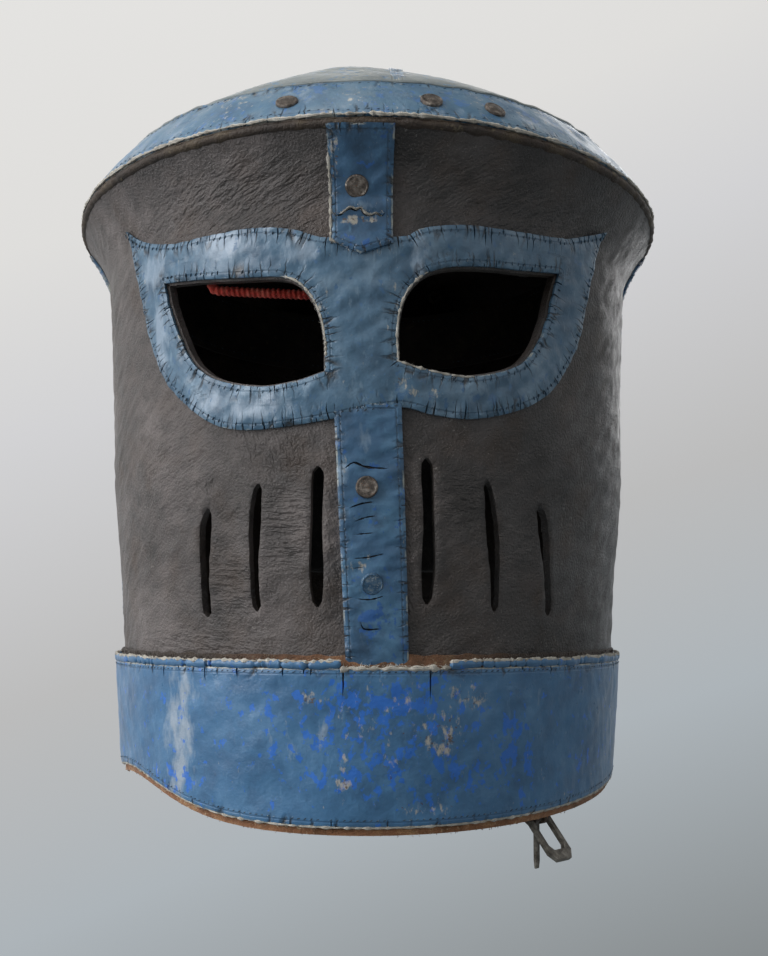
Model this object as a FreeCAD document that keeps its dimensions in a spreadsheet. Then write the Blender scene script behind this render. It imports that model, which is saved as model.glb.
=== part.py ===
"""A full-face leather football helmet of the early kind: a hard leather face and back shell sewn to a
low oval crown, blue leather trims and a deep chin band, a head suspension inside and a neck buckle.

Frame: X to the wearer's left as seen from the front (viewer's right), Y to the back, Z up.
The origin is the head seat, the underside of the suspension straps where they cross.
Every leather layer follows one of two oval forms, the wall and the crown, at its own depth from the
outer face of the shell (positive outwards). The forms are turned sections, stretched front to back
and sheared so that the brow seam rises towards the front."""
import FreeCAD, Part
import Sketcher
import math
import os
import re

V = FreeCAD.Vector
doc = FreeCAD.newDocument("helmet")

# ---------------------------------------------------------------- driving dimensions, mm and degrees
sheet = doc.addObject("Spreadsheet::Sheet", "Sizes")
SIZES = [
    # the two oval forms
    ("wall_half_width", 106.0), ("depth_ratio", 1.15), ("rim_rise", 0.07),
    ("rim_height", -49.5), ("flare", 16.0), ("flare_height", 22.0), ("flare_foot_out", 3.7),
    ("cheek_height", -160.0), ("hem_taper", 9.7),
    ("crown_rise", 66.0), ("hem_height", -269.0), ("hem_slope", 0.083), ("band_top", -225.0),
    ("seam_y", 10.0),
    # leather and felt thicknesses
    ("wall_leather", 4.0), ("crown_leather", 3.0), ("trim_leather", 1.6), ("backing_leather", 2.0),
    ("backing_drop", 1.6), ("strap_leather", 2.0), ("layer_gap", 0.3),
    # welt
    ("welt_radius", 2.3), ("welt_proud", 0.7), ("welt_flange", 8.0), ("welt_ply", 1.2),
    # brow band and crown ridge
    ("brow_band_foot", 1.6), ("brow_band_rise", 19.0), ("ridge_x", 10.5), ("ridge_width", 5.0),
    # goggle trim, eye openings and the strips
    ("eye_yaw", 25.0), ("pattern_lean", 1.7), ("lean_height", -200.0),
    ("strip_width", 22.8), ("forehead_x", -2.2), ("nose_lean", 2.6), ("rear_strip_width", 24.0),
    ("seam_strap_width", 22.0),
    # slits
    ("slit_width", 4.8), ("slit_top_inner", -155.0), ("slit_step_top", 7.5),
    ("slit_bottom", -203.0), ("slit_step_bottom", 2.0),
    ("slit_inner_x", 18.5), ("slit_middle_x", 41.0), ("slit_outer_x", 60.5),
    # rivets
    ("cap_radius", 4.2), ("cap_height", 1.3), ("shank_radius", 1.6), ("burr_radius", 4.0),
    ("burr_ply", 0.8), ("shank_clearance", 0.15), ("cap_lift", 0.15), ("burr_lift", 0.25),
    # inside of the helmet
    ("headband_inset", 13.5), ("headband_leather", 1.8), ("headband_top", -49.0),
    ("headband_width", 28.0), ("pad_bottom", -81.0), ("forehead_pad_width", 124.0),
    ("rear_pad_width", 96.0), ("suspension_width", 25.0), ("suspension_leather", 2.0),
    ("suspension_flat", 1.3), ("crossing_gap", 0.9), ("suspension_tail", 14.0), ("crown_pad_radius", 42.0),
    ("crown_pad_thickness", 4.5), ("cheek_pad_thickness", 9.0), ("cheek_pad_top", -108.0),
    ("cheek_pad_bottom", -186.0), ("cheek_pad_length", 76.0), ("nape_pad_width", 84.0),
    ("cord_radius", 1.9),
    # neck strap and buckle
    ("neck_strap_width", 16.0), ("neck_strap_height", -250.0), ("neck_strap_end", 70.0),
    ("strap_hole_radius", 1.6), ("strap_hole_pitch", 20.0),
    ("tab_x", 65.5), ("tab_rivet_height", -260.0), ("tab_width", 12.5), ("tab_ply", 1.8),
    ("tab_clearance", 1.0), ("tab_top", 7.0), ("bar_drop", 21.0), ("bar_radius", 1.0),
    ("fold_clearance", 0.3), ("fold_side_gap", 0.4), ("prong_slot", 3.2),
    ("frame_width", 13.5), ("frame_length", 19.0), ("frame_end_width", 8.0), ("frame_side", 2.2),
    ("frame_end", 4.2), ("frame_ply", 1.6), ("frame_swing", 40.0), ("prong_width", 2.2),
    ("prong_ply", 1.5), ("prong_length", 19.0), ("prong_clearance", 0.2),
]
for row, (alias, value) in enumerate(SIZES, start=1):
    sheet.set(f"A{row}", alias)
    sheet.set(f"B{row}", str(value))
    sheet.setAlias(f"B{row}", alias)
doc.recompute()


def size(alias):
    return float(sheet.get(alias))


NODES = []


def node(obj, label):
    """Marks a document object as a sub-part of the helmet."""
    obj.Label = label
    NODES.append(obj)
    return obj


def leather(label, shape):
    """A layer that follows an oval form: no primitive or sketch pad makes it, so its Shape is set."""
    solids = shape.Solids
    feature = doc.addObject("Part::Feature", label)
    feature.Shape = solids[0] if len(solids) == 1 else Part.makeCompound(solids)
    return node(feature, label)


# ---------------------------------------------------------------- the two oval forms
WALL = size("wall_half_width")
RIM = size("rim_height")
RIM_HALF_WIDTH = WALL + size("flare")
REACH = 400.0            # longer than the helmet in any direction, for cutting tools
BELOW = -330.0           # lower than anything in the helmet


FLARE_FOOT = RIM - size("flare_height")
FOOT_OUT = size("flare_foot_out")   # how much wider the wall is at the flare's foot than at the cheek
FLARE_MIDDLE = 0.36      # share of the flare reached half way up it
CROWN_RADIUS = (RIM_HALF_WIDTH ** 2 + size("crown_rise") ** 2) / (2 * size("crown_rise"))
CROWN_CENTRE = RIM + size("crown_rise") - CROWN_RADIUS
HEM_REACH = -300.0       # where the wall's section ends, below the hem
PAST_SEAM = 0.06         # how far the crown's arc is carried past the brow seam, radians


def wall_curve(depth):
    """Half of the wall's section: two straight runs and the arc of the flare under the brow seam."""
    hem = V(WALL - size("hem_taper") + depth, 0, HEM_REACH)
    cheek = V(WALL + depth, 0, size("cheek_height"))
    foot = V(WALL + FOOT_OUT + depth, 0, FLARE_FOOT)
    middle = V(WALL + FOOT_OUT + (size("flare") - FOOT_OUT) * FLARE_MIDDLE + depth, 0,
               (FLARE_FOOT + RIM) / 2)
    rim = V(RIM_HALF_WIDTH + depth, 0, RIM)
    return [line(hem, cheek), line(cheek, foot), Part.Arc(foot, middle, rim).toShape()]


def crown_curve(depth):
    """Half of the crown's section, one arc down from the apex, carried on past the brow seam."""
    radius = CROWN_RADIUS + depth
    edge = Part.Circle(V(0, 0, CROWN_CENTRE), V(0, -1, 0), radius)
    top = V(0, 0, CROWN_CENTRE + radius)
    angle = math.atan2(RIM_HALF_WIDTH, RIM - CROWN_CENTRE) + PAST_SEAM
    middle = V(radius * math.sin(angle / 2), 0, CROWN_CENTRE + radius * math.cos(angle / 2))
    low = V(radius * math.sin(angle), 0, CROWN_CENTRE + radius * math.cos(angle))
    return [Part.Arc(low, middle, top).toShape()]


def wall_radius(z, depth):
    """Half-width of the wall at a height of the upright form."""
    if z <= size("cheek_height"):
        share = (z - HEM_REACH) / (size("cheek_height") - HEM_REACH)
        return WALL - size("hem_taper") * (1 - share) + depth
    if z <= FLARE_FOOT:
        return WALL + FOOT_OUT * (z - size("cheek_height")) / (FLARE_FOOT - size("cheek_height")) + depth
    arc = wall_curve(depth)[2].Curve
    return arc.Center.x - math.sqrt(arc.Radius ** 2 - (z - arc.Center.z) ** 2)


def crown_radius(z, depth):
    return math.sqrt((CROWN_RADIUS + depth) ** 2 - (z - CROWN_CENTRE) ** 2)


def seat(radius_at, depth, z, x=None, y=None, side=-1):
    """The point of a form at height z and a given x (or y) on one side, and the outward normal."""
    ratio, rise = size("depth_ratio"), size("rim_rise")
    back = 0.0 if y is None else y
    for _ in range(12):
        reach = radius_at(z + rise * back, depth)
        if y is None:
            back = side * ratio * math.sqrt(reach ** 2 - x ** 2)
    across = x if y is None else side * math.sqrt(reach ** 2 - (back / ratio) ** 2)
    step = 0.01
    slope = (radius_at(z + rise * back + step, depth) - radius_at(z + rise * back - step, depth)) / (2 * step)
    normal = V(across / reach, back / (ratio ** 2 * reach) - slope * rise, -slope).normalize()
    return V(across, back, z), normal


SEAM_ANGLES = (195, 345, 60, 120, 195 + 360)   # degrees from +X, clear of the eyes, rivets and strips


def oval(face):
    """Turns a half section about Z in four parts, stretches it front to back and lifts the brow."""
    stretch = FreeCAD.Matrix()
    stretch.A22 = size("depth_ratio")
    stretch.A32 = -size("rim_rise") * size("depth_ratio")
    sectors = []
    for start, end in zip(SEAM_ANGLES, SEAM_ANGLES[1:]):
        half_section = turned(face, V(0, 0, 1), start)
        span = (end - start) % 360
        sectors.append(half_section.revolve(V(0, 0, 0), V(0, 0, 1), span).transformGeometry(stretch))
    return sectors[0].fuse(sectors[1:])


def turned(shape, axis, degrees, centre=V(0, 0, 0)):
    copy = shape.copy()
    copy.rotate(centre, axis, degrees)
    return copy


def section(*edges):
    return Part.Face(Part.Wire(Part.sortEdges(list(edges))[0]))


def line(a, b):
    return Part.makeLine(a, b)


def ends(edges):
    """The lowest and highest point of a half section."""
    points = sorted((vertex.Point for edge in edges for vertex in edge.Vertexes), key=lambda p: p.z)
    return points[0], points[-1]


def strip_section(curve_at, inner, outer):
    """The half section of a layer between two depths of one form."""
    low, high = curve_at(inner), curve_at(outer)
    (low_foot, low_top), (high_foot, high_top) = ends(low), ends(high)
    return section(*low, *high, line(low_foot, high_foot), line(low_top, high_top))


def between(low, high):
    """The half section of everything between two heights."""
    corners = [V(-1, 0, low), V(REACH / 2, 0, low), V(REACH / 2, 0, high), V(-1, 0, high)]
    return Part.Face(Part.makePolygon(corners + corners[:1]))


def layer(curve_at, inner, outer):
    """The closed layer of one form between two depths."""
    return oval(strip_section(curve_at, inner, outer))


def cavity(depth):
    """Everything inside the wall at a depth."""
    edges = wall_curve(depth)
    foot, top = ends(edges)
    axis_foot, axis_top = V(0, 0, foot.z), V(0, 0, top.z)
    return oval(section(*edges, line(axis_foot, foot), line(top, axis_top), line(axis_top, axis_foot)))


def straight_oval(half_width, low, high):
    """An upright oval column of the helmet's own proportions."""
    disc = section(line(V(0, 0, low), V(half_width, 0, low)),
                   line(V(half_width, 0, low), V(half_width, 0, high)),
                   line(V(half_width, 0, high), V(0, 0, high)), line(V(0, 0, high), V(0, 0, low)))
    return oval(disc)


# ---------------------------------------------------------------- cutting tools
def block(x0, x1, y0, y1, z0, z1):
    return Part.makeBox(x1 - x0, y1 - y0, z1 - z0, V(x0, y0, z0))


def below_hem(drop=0.0):
    """What the hem cuts away: its plane falls towards the chin."""
    tool = block(-REACH / 2, REACH / 2, -REACH / 2, REACH / 2, -REACH, -drop)
    tool.rotate(V(0, 0, 0), V(1, 0, 0), math.degrees(math.atan(size("hem_slope"))))
    tool.translate(V(0, 0, size("hem_height")))
    return tool


FRONT = block(-REACH / 2, REACH / 2, -REACH / 2, size("seam_y"), BELOW, REACH / 2)
BACK = block(-REACH / 2, REACH / 2, size("seam_y"), REACH / 2, BELOW, REACH / 2)


def spline(points):
    curve = Part.BSplineCurve()
    curve.interpolate([V(*point) for point in points])
    return curve.toShape()


def pattern_prism(edges, near=-REACH / 2, far=-40.0):
    """A flat outline in the plane that faces one eye, run through the front wall."""
    face = Part.Face(Part.Wire(Part.sortEdges(edges)[0]))
    prism = face.extrude(V(0, far - near, 0))
    prism.translate(V(0, near, 0))
    return prism


def leaned(shape):
    return turned(shape, V(0, 1, 0), -size("pattern_lean"), V(0, 0, size("lean_height")))


def both_eyes(edges):
    """The outline turned to face each eye; its heights and widths are those of the right eye."""
    right = turned(pattern_prism(edges), V(0, 0, 1), size("eye_yaw"))
    left = right.mirror(V(0, 0, 0), V(1, 0, 0))
    return leaned(right), leaned(left)


def eye_outline():
    corner, inner = (28.0, 0, -83.0), (-40.0, 0, -121.5)
    top = spline([corner, (9.0, 0, -85.0), (-8.0, 0, -86.0), (-24.0, 0, -87.6), (-34.0, 0, -93.0),
                  (-39.0, 0, -104.0), inner])
    bottom = spline([inner, (-15.0, 0, -125.4), (5.0, 0, -120.4), (19.0, 0, -106.0), corner])
    return [top, bottom]


def goggle_outline():
    middle = -54.0
    tip = (53.0, 0, -60.0)
    top = spline([(middle, 0, -76.0), (-38.0, 0, -75.0), (-18.0, 0, -71.0), (4.0, 0, -70.8),
                  (27.0, 0, -69.6), tip])
    side = spline([tip, (46.0, 0, -78.0), (40.0, 0, -102.0), (26.0, 0, -123.0), (4.0, 0, -137.0),
                   (-14.0, 0, -140.2), (-40.0, 0, -138.0), (middle, 0, -137.0)])
    return [top, side, line(V(middle, 0, -137.0), V(middle, 0, -76.0))]


# ---------------------------------------------------------------- rivets
def on_seat(point, normal):
    return FreeCAD.Placement(point, FreeCAD.Rotation(V(0, 0, 1), normal))


# sketches for the turned and pressed parts
def polygon(body, name, role, corners):
    """A closed sketch whose corners are held to spreadsheet expressions, one pair for each corner."""
    sketch = body.newObject("Sketcher::SketchObject", name)
    plane = next(f for f in body.Origin.OriginFeatures if f.Role == role)
    sketch.AttachmentSupport = [(plane, "")]
    sketch.MapMode = "FlatFace"
    values = [(evaluate(across), evaluate(up)) for across, up in corners]
    count = len(values)
    for index, start in enumerate(values):
        end = values[(index + 1) % count]
        sketch.addGeometry(Part.LineSegment(V(*start, 0), V(*end, 0)))
    for index in range(count):
        sketch.addConstraint(Sketcher.Constraint("Coincident", index, 2, (index + 1) % count, 1))
    for index, (across, up) in enumerate(corners):
        for kind, text, value, axis in (("DistanceX", across, values[index][0], -2),
                                        ("DistanceY", up, values[index][1], -1)):
            if text == "0":
                sketch.addConstraint(Sketcher.Constraint("PointOnObject", index, 1, axis))
                continue
            at = sketch.addConstraint(Sketcher.Constraint(kind, -1, 1, index, 1, value))
            sketch.setExpression(f"Constraints[{at}]", bound(text))
    return sketch


def bound(text):
    """The same expression with every size read from the sheet."""
    return re.sub(r"[a-z][a-z_]+", lambda word: f"Sizes.{word.group()}", text)


probe = doc.addObject("App::FeaturePython", "Probe")
probe.addProperty("App::PropertyFloat", "Value")


def evaluate(text):
    """The number that a spreadsheet expression stands for now."""
    probe.setExpression("Value", bound(text))
    doc.recompute()
    return float(probe.Value)


def revolved(name, corners):
    body = doc.addObject("PartDesign::Body", name)
    profile = polygon(body, f"{name}_profile", "XZ_Plane", corners)
    turn = body.newObject("PartDesign::Revolution", f"{name}_turn")
    turn.Profile = profile
    turn.ReferenceAxis = (profile, ["V_Axis"])
    turn.Angle = 360
    doc.recompute()
    return body


def padded(name, role, corners, thickness):
    body = doc.addObject("PartDesign::Body", name)
    profile = polygon(body, f"{name}_profile", role, corners)
    pad = body.newObject("PartDesign::Pad", f"{name}_pad")
    pad.Profile = profile
    pad.SideType = "Symmetric"
    pad.setExpression("Length", bound(thickness))
    doc.recompute()
    return body


def rivet_body(name, grip):
    """A pressed cap on a shank; the origin is on the leather under the cap, the cap on +Z."""
    foot = f"-({grip})"
    return revolved(name, [
        ("0", foot), ("shank_radius", foot), ("shank_radius", "cap_lift"),
        ("cap_radius", "cap_lift"), ("cap_radius", "cap_lift + cap_height * 0.3"),
        ("cap_radius * 0.6", "cap_lift + cap_height"), ("0", "cap_lift + cap_height")])


def rivet_group(label, *sets):
    """Copies of turned parts on their seats, one node of separate solids."""
    copies = []
    for pattern, seats in sets:
        for point, normal in seats:
            copy = pattern.Shape.copy()
            copy.Placement = on_seat(point, normal)
            copies.append(copy)
    group = doc.addObject("Part::Feature", label)
    group.Shape = Part.makeCompound(copies)
    return node(group, label)


def drills(seats, depth, radius=size("shank_radius") + size("shank_clearance")):
    """Holes through the leather under each cap, their seam lines turned off the form's own."""
    tools = []
    for point, normal in seats:
        tool = Part.makeCylinder(radius, 2 * depth, point + normal * depth, normal * -1)
        tools.append(turned(tool, normal, 30, point))
    return Part.makeCompound(tools)


# ---------------------------------------------------------------- the welt in the brow seam
def welt_section():
    radius = size("welt_radius")
    centre = RIM_HALF_WIDTH - radius + size("welt_proud")
    bead = Part.Face(Part.Wire(Part.makeCircle(radius, V(centre, 0, RIM), V(0, 1, 0))))
    half = size("welt_ply") / 2
    inner = RIM_HALF_WIDTH - size("welt_flange")
    corners = [V(inner, 0, RIM - half), V(centre, 0, RIM - half),
               V(centre, 0, RIM + half), V(inner, 0, RIM + half)]
    flange = Part.Face(Part.makePolygon(corners + corners[:1]))
    return bead.fuse(flange).removeSplitter().Faces[0]


WELT = welt_section()
HALF_PLY = size("welt_ply") / 2
hem = below_hem()


def wall(inner, outer):
    """A layer of the wall from the hem to the welt."""
    flat = strip_section(wall_curve, inner, outer).common(between(BELOW, RIM - HALF_PLY)).cut(WELT)
    return oval(flat.Faces[0]).cut(hem)


def crown(inner, outer, low=RIM + HALF_PLY, high=REACH / 2):
    """A layer of the crown, over the welt, between two heights."""
    flat = strip_section(crown_curve, inner, outer).common(between(low, high)).cut(WELT)
    return oval(max(flat.Faces, key=lambda face: face.Area))


# ---------------------------------------------------------------- pattern: what is cut in the front
eyes = both_eyes(eye_outline())
goggles = both_eyes(goggle_outline())
half_strip = size("strip_width") / 2
brow_line = size("pad_bottom") + 5.0


def nose_prism():
    prism = block(-half_strip, half_strip, -REACH / 2, -40, BELOW, -130)
    return turned(prism, V(0, 1, 0), -size("nose_lean"), V(0, 0, -140))


def forehead_prism():
    centre = size("forehead_x")
    return block(centre - half_strip, centre + half_strip, -REACH / 2, -40, brow_line - 3, REACH / 2)


def slit_prism(x, number):
    """A breathing slit with round ends, square to the wall where it is cut."""
    half = size("slit_width") / 2
    top = size("slit_top_inner") - number * size("slit_step_top")
    bottom = size("slit_bottom") - number * size("slit_step_bottom")
    point, normal = seat(wall_radius, 0, (top + bottom) / 2, x=x)
    heading = math.degrees(math.atan2(normal.x, -normal.y))
    slot = block(-half, half, -20, 20, bottom + half, top - half)
    for height in (bottom + half, top - half):
        slot = slot.fuse(Part.makeCylinder(half, 40, V(0, -20, height), V(0, 1, 0)))
    slot.rotate(V(0, 0, 0), V(0, 0, 1), heading)
    slot.translate(V(point.x, point.y, 0))
    return slot


face_form = wall(-size("wall_leather"), 0)
slits = [slit_prism(side * size(alias), number)
         for side in (-1, 1)
         for number, alias in enumerate(("slit_inner_x", "slit_middle_x", "slit_outer_x"))]

# ---------------------------------------------------------------- rivet seats
TRIM = size("trim_leather")
trim_face = wall(0, TRIM)
BURR = "burr_lift + burr_ply"
SIDE_GRIP = f"trim_leather + wall_leather + {BURR}"
FRONT_GRIP = f"(trim_leather + wall_leather) * depth_ratio + {BURR}"
CROWN_SIDE_GRIP = f"trim_leather + crown_leather + {BURR}"
CROWN_FRONT_GRIP = f"(trim_leather + crown_leather) * depth_ratio + {BURR}"

forehead_seats = [seat(wall_radius, TRIM, -59.0, x=-3.9)]
nose_seats = [seat(wall_radius, TRIM, z, x=x) for x, z in ((-0.4, -163.0), (1.4, -196.0))]
rear_seats = [seat(wall_radius, TRIM, z, x=0.0, side=1) for z in (-90.0, -135.0, -198.0)]
seam_seats = [seat(wall_radius, TRIM, z, y=size("seam_y"), side=side)
              for side in (1, -1) for z in (-86.0, -142.0, -200.0)]
brow_front_seats = ([seat(crown_radius, TRIM, -29.5, x=x) for x in (-28.0, 21.5, 44.0)]
                    + [seat(crown_radius, TRIM, -38.5, x=x, side=1) for x in (-36.0, 0.0, 36.0)])
brow_side_seats = [seat(crown_radius, TRIM, -34.0, y=0.0, side=side) for side in (1, -1)]
brow_seats = brow_front_seats + brow_side_seats
WALL_INSIDE = -size("wall_leather")
tab_seat = seat(wall_radius, WALL_INSIDE, size("tab_rivet_height"), x=size("tab_x"))
strap_seat = seat(wall_radius, WALL_INSIDE, size("neck_strap_height"), x=-size("tab_x"))

wall_seats = forehead_seats + nose_seats + rear_seats + seam_seats
wall_drills = drills(wall_seats, 14)
crown_drills = drills(brow_seats, 12)
inner_drills = drills([tab_seat, strap_seat], 7)

# ---------------------------------------------------------------- shells
face = face_form.common(FRONT).cut(wall_drills).cut(inner_drills)
for tool in list(eyes) + slits:
    face = face.cut(tool)
leather("face_shell", face)
leather("back_shell", face_form.common(BACK).cut(wall_drills))

crown_shell = crown(-size("crown_leather"), 0)
left_of_ridge = block(-REACH / 2, size("ridge_x"), -REACH / 2, REACH / 2, -REACH / 2, REACH / 2)
leather("crown_panel_left", crown_shell.common(left_of_ridge).cut(crown_drills))
leather("crown_panel_right", crown_shell.cut(left_of_ridge).cut(crown_drills))
leather("crown_welt", oval(WELT))

# ---------------------------------------------------------------- blue trims
band_top = RIM + size("brow_band_rise")
leather("brow_band", crown(0, TRIM, RIM + size("brow_band_foot"), band_top).cut(crown_drills))
ridge_zone = block(size("ridge_x") - size("ridge_width") / 2, size("ridge_x") + size("ridge_width") / 2,
                   -REACH / 2, REACH / 2, -REACH / 2, REACH / 2)
leather("crown_ridge_strap", crown(0, TRIM, band_top).common(ridge_zone))

above_band = block(-REACH / 2, REACH / 2, -REACH / 2, REACH / 2, size("band_top"), REACH / 2)
seam_half = size("seam_strap_width") / 2
seam_zone = block(-REACH / 2, REACH / 2, size("seam_y") - seam_half, size("seam_y") + seam_half,
                  BELOW, REACH / 2)
goggle = goggles[0].fuse(goggles[1])
leather("goggle_trim", trim_face.common(goggle).cut(eyes[0]).cut(eyes[1]))
leather("forehead_strip", trim_face.common(forehead_prism()).cut(goggle).cut(drills(forehead_seats, 14)))
nose = trim_face.common(nose_prism()).common(above_band).cut(goggle)
leather("nose_strip", nose.cut(drills(nose_seats, 14)))
rear_half = size("rear_strip_width") / 2
rear_zone = block(-rear_half, rear_half, 40, REACH / 2, BELOW, REACH / 2)
leather("rear_strip", trim_face.common(rear_zone).common(above_band).cut(drills(rear_seats, 14)))
for label, low, high in (("seam_strap_left", -REACH / 2, 0), ("seam_strap_right", 0, REACH / 2)):
    side = block(low, high, -REACH / 2, REACH / 2, BELOW, REACH / 2)
    leather(label, trim_face.common(seam_zone).common(above_band).common(side).cut(drills(seam_seats, 14)))

# ---------------------------------------------------------------- chin and nape bands
BACKING = size("backing_leather")
backing_zone = layer(wall_curve, 0, BACKING).cut(above_band)
backing = backing_zone.cut(below_hem(size("backing_drop"))).common(FRONT)
leather("chin_band_backing", backing)
leather("nape_band_backing", backing_zone.cut(below_hem(size("backing_drop"))).common(BACK))
band = layer(wall_curve, BACKING, BACKING + size("trim_leather")).cut(above_band).cut(hem)
leather("chin_band", band.common(FRONT))
leather("nape_band", band.common(BACK))

# ---------------------------------------------------------------- rivets and burrs
front_rivet = rivet_body("Front_rivet", FRONT_GRIP)
side_rivet = rivet_body("Side_rivet", SIDE_GRIP)
rivet_group("forehead_rivet", (front_rivet, forehead_seats))
rivet_group("nose_rivets", (front_rivet, nose_seats))
rivet_group("rear_rivets", (front_rivet, rear_seats))
rivet_group("seam_rivets", (side_rivet, seam_seats))
rivet_group("brow_rivets", (rivet_body("Brow_rivet", CROWN_FRONT_GRIP), brow_front_seats),
            (rivet_body("Brow_side_rivet", CROWN_SIDE_GRIP), brow_side_seats))


def burr_body(name, grip):
    """A washer round the shank's end, on the flesh side of the leather."""
    hole = "shank_radius + shank_clearance"
    low, high = f"-({grip})", f"-({grip}) + burr_ply"
    return revolved(name, [(hole, low), ("burr_radius", low), ("burr_radius", high), (hole, high)])


rivet_group("wall_burrs",
            (burr_body("Front_burr", FRONT_GRIP), forehead_seats + nose_seats + rear_seats),
            (burr_body("Side_burr", SIDE_GRIP), seam_seats))
rivet_group("crown_burrs", (burr_body("Brow_burr", CROWN_FRONT_GRIP), brow_front_seats),
            (burr_body("Brow_side_burr", CROWN_SIDE_GRIP), brow_side_seats))

# ---------------------------------------------------------------- headband, pads and suspension
GAP = size("layer_gap")
HEADBAND = WALL - size("headband_inset")
PAD_DEPTH = -size("wall_leather") - GAP - size("burr_lift") - size("burr_ply")   # clear of the burrs
band_low = size("headband_top") - size("headband_width")


def headband():
    outer = straight_oval(HEADBAND, band_low, size("headband_top"))
    return outer.cut(straight_oval(HEADBAND - size("headband_leather"), BELOW, REACH / 2))


leather("headband", headband())


def pad_behind(half, high, low, front):
    """Felt between the headband and the shell, at the forehead or at the nape."""
    inner_form = cavity(PAD_DEPTH)
    core = straight_oval(HEADBAND + GAP, BELOW, REACH / 2)
    zone = block(-half, half, -REACH / 2, -20, low, high)
    if not front:
        zone = block(-half, half, 20, REACH / 2, low, high)
    return inner_form.cut(core).common(zone)


pad_high = size("headband_top") - 2.0
burr_recess = drills(forehead_seats, 14, size("burr_radius") + GAP)
leather("forehead_pad", pad_behind(size("forehead_pad_width") / 2, pad_high, size("pad_bottom"), True)
        .cut(burr_recess))
leather("rear_pad", pad_behind(size("rear_pad_width") / 2, pad_high - 4, size("pad_bottom"), False))


def wall_pad(thickness, zone):
    return layer(wall_curve, PAD_DEPTH - thickness, PAD_DEPTH).common(zone)


pad_half = size("cheek_pad_length") / 2
cheek_y = size("seam_y") - 4.0
for label, low, high in (("cheek_pad_left", -REACH / 2, 0), ("cheek_pad_right", 0, REACH / 2)):
    zone = block(low, high, cheek_y - pad_half, cheek_y + pad_half,
                 size("cheek_pad_bottom"), size("cheek_pad_top"))
    leather(label, wall_pad(size("cheek_pad_thickness"), zone))
nape_half = size("nape_pad_width") / 2
nape_zone = block(-nape_half, nape_half, 20, REACH / 2, size("cheek_pad_bottom"), size("cheek_pad_top"))
leather("nape_pad", wall_pad(size("cheek_pad_thickness"), nape_zone))


def suspension(half_span, low):
    """An arched strap across the head: half an ellipse with straight tails inside the headband."""
    thick, half = size("suspension_leather"), size("suspension_width") / 2
    spring_line = size("headband_top")
    tail = spring_line - size("suspension_tail")

    def arch(reach, top):
        rise = top - spring_line
        major, minor = (reach, rise) if reach > rise else (rise, reach)
        toward = V(1, 0, 0) if reach > rise else V(0, 0, 1)
        curve = Part.Ellipse(V(0, 0, spring_line) + toward * major,
                             V(0, 0, spring_line) + (V(0, 0, 1) if reach > rise else V(-1, 0, 0)) * minor,
                             V(0, 0, spring_line))
        edge = curve.toShape()
        disc = Part.Face(Part.Wire(edge))
        prism = disc.extrude(V(0, 2 * half, 0))
        prism.translate(V(0, -half, 0))
        legs = block(-reach, reach, -half, half, tail, spring_line)
        return prism.common(block(-reach, reach, -half, half, spring_line, REACH)).fuse(legs)

    return arch(half_span, low + thick).cut(arch(half_span - thick, low)).removeSplitter()


inside_band = HEADBAND - size("headband_leather") - size("suspension_flat")
leather("suspension_cross_strap", suspension(inside_band, size("suspension_leather") + size("crossing_gap")))
long_strap = suspension(inside_band * size("depth_ratio"), 0.0)
leather("suspension_long_strap", turned(long_strap, V(0, 0, 1), 90))

pad_depth = -size("crown_leather") - GAP - size("burr_lift") - size("burr_ply")
crown_core = Part.makeCylinder(size("crown_pad_radius"), REACH, V(0, 0, -REACH / 2))
leather("crown_pad", layer(crown_curve, pad_depth - size("crown_pad_thickness"), pad_depth)
        .common(crown_core))


# ---------------------------------------------------------------- the red lacing under the forehead pad
def laced_cord():
    """Both ends come out of the forehead pad; the long run is pulled tight across one eye."""
    low = size("pad_bottom")
    route = [V(-57.5, -92.5, low), V(-57.5, -92.5, low - 7.8), V(-8.0, -93.0, low - 7.8),
             V(4.0, -112.5, low - 8.5), V(4.0, -112.5, low)]
    return tube(route, size("cord_radius"))


def tube(route, radius):
    """A round tube along straight runs joined by tangent arcs."""
    edges, start = [], route[0]
    for before, corner, after in zip(route, route[1:], route[2:]):
        back, ahead = (before - corner), (after - corner)
        turn = math.pi - back.getAngle(ahead)
        shorter = min(back.Length, ahead.Length)
        bend = 0.45 * shorter / math.tan(turn / 2)
        reach = 0.45 * shorter
        enter = corner + back.normalize() * reach
        leave = corner + ahead.normalize() * reach
        half = (back + ahead).normalize()
        middle = corner + half * (bend / math.cos(turn / 2) - bend)
        edges += [line(start, enter), Part.Arc(enter, middle, leave).toShape()]
        start = leave
        print(f"cord bend radius {bend:.1f} mm")
    edges.append(line(start, route[-1]))
    path = Part.Wire(edges)
    ring = Part.Wire(Part.makeCircle(radius, route[0], route[1] - route[0]))
    swept = path.makePipeShell([ring], True, False)
    print(f"cord volume over section times length {swept.Volume / (math.pi * radius ** 2 * path.Length):.4f}")
    return swept


leather("lacing_cord", laced_cord())


# ---------------------------------------------------------------- neck strap
def neck_strap():
    depth = -size("wall_leather") - GAP
    half = size("neck_strap_width") / 2
    middle = size("neck_strap_height")
    start = strap_seat[0]
    zone = block(-REACH / 2, 0, start.y - 10, size("neck_strap_end"), middle - half, middle + half)
    strap = layer(wall_curve, depth - size("strap_leather"), depth).common(zone)
    holes = []
    for number in range(5):
        y = size("neck_strap_end") - (number + 1) * size("strap_hole_pitch")
        holes.append(Part.makeCylinder(size("strap_hole_radius"), REACH / 2, V(-REACH / 2, y, middle), V(1, 0, 0)))
    return strap.cut(Part.makeCompound(holes)).cut(inner_drills)


leather("neck_strap", neck_strap())

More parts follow.
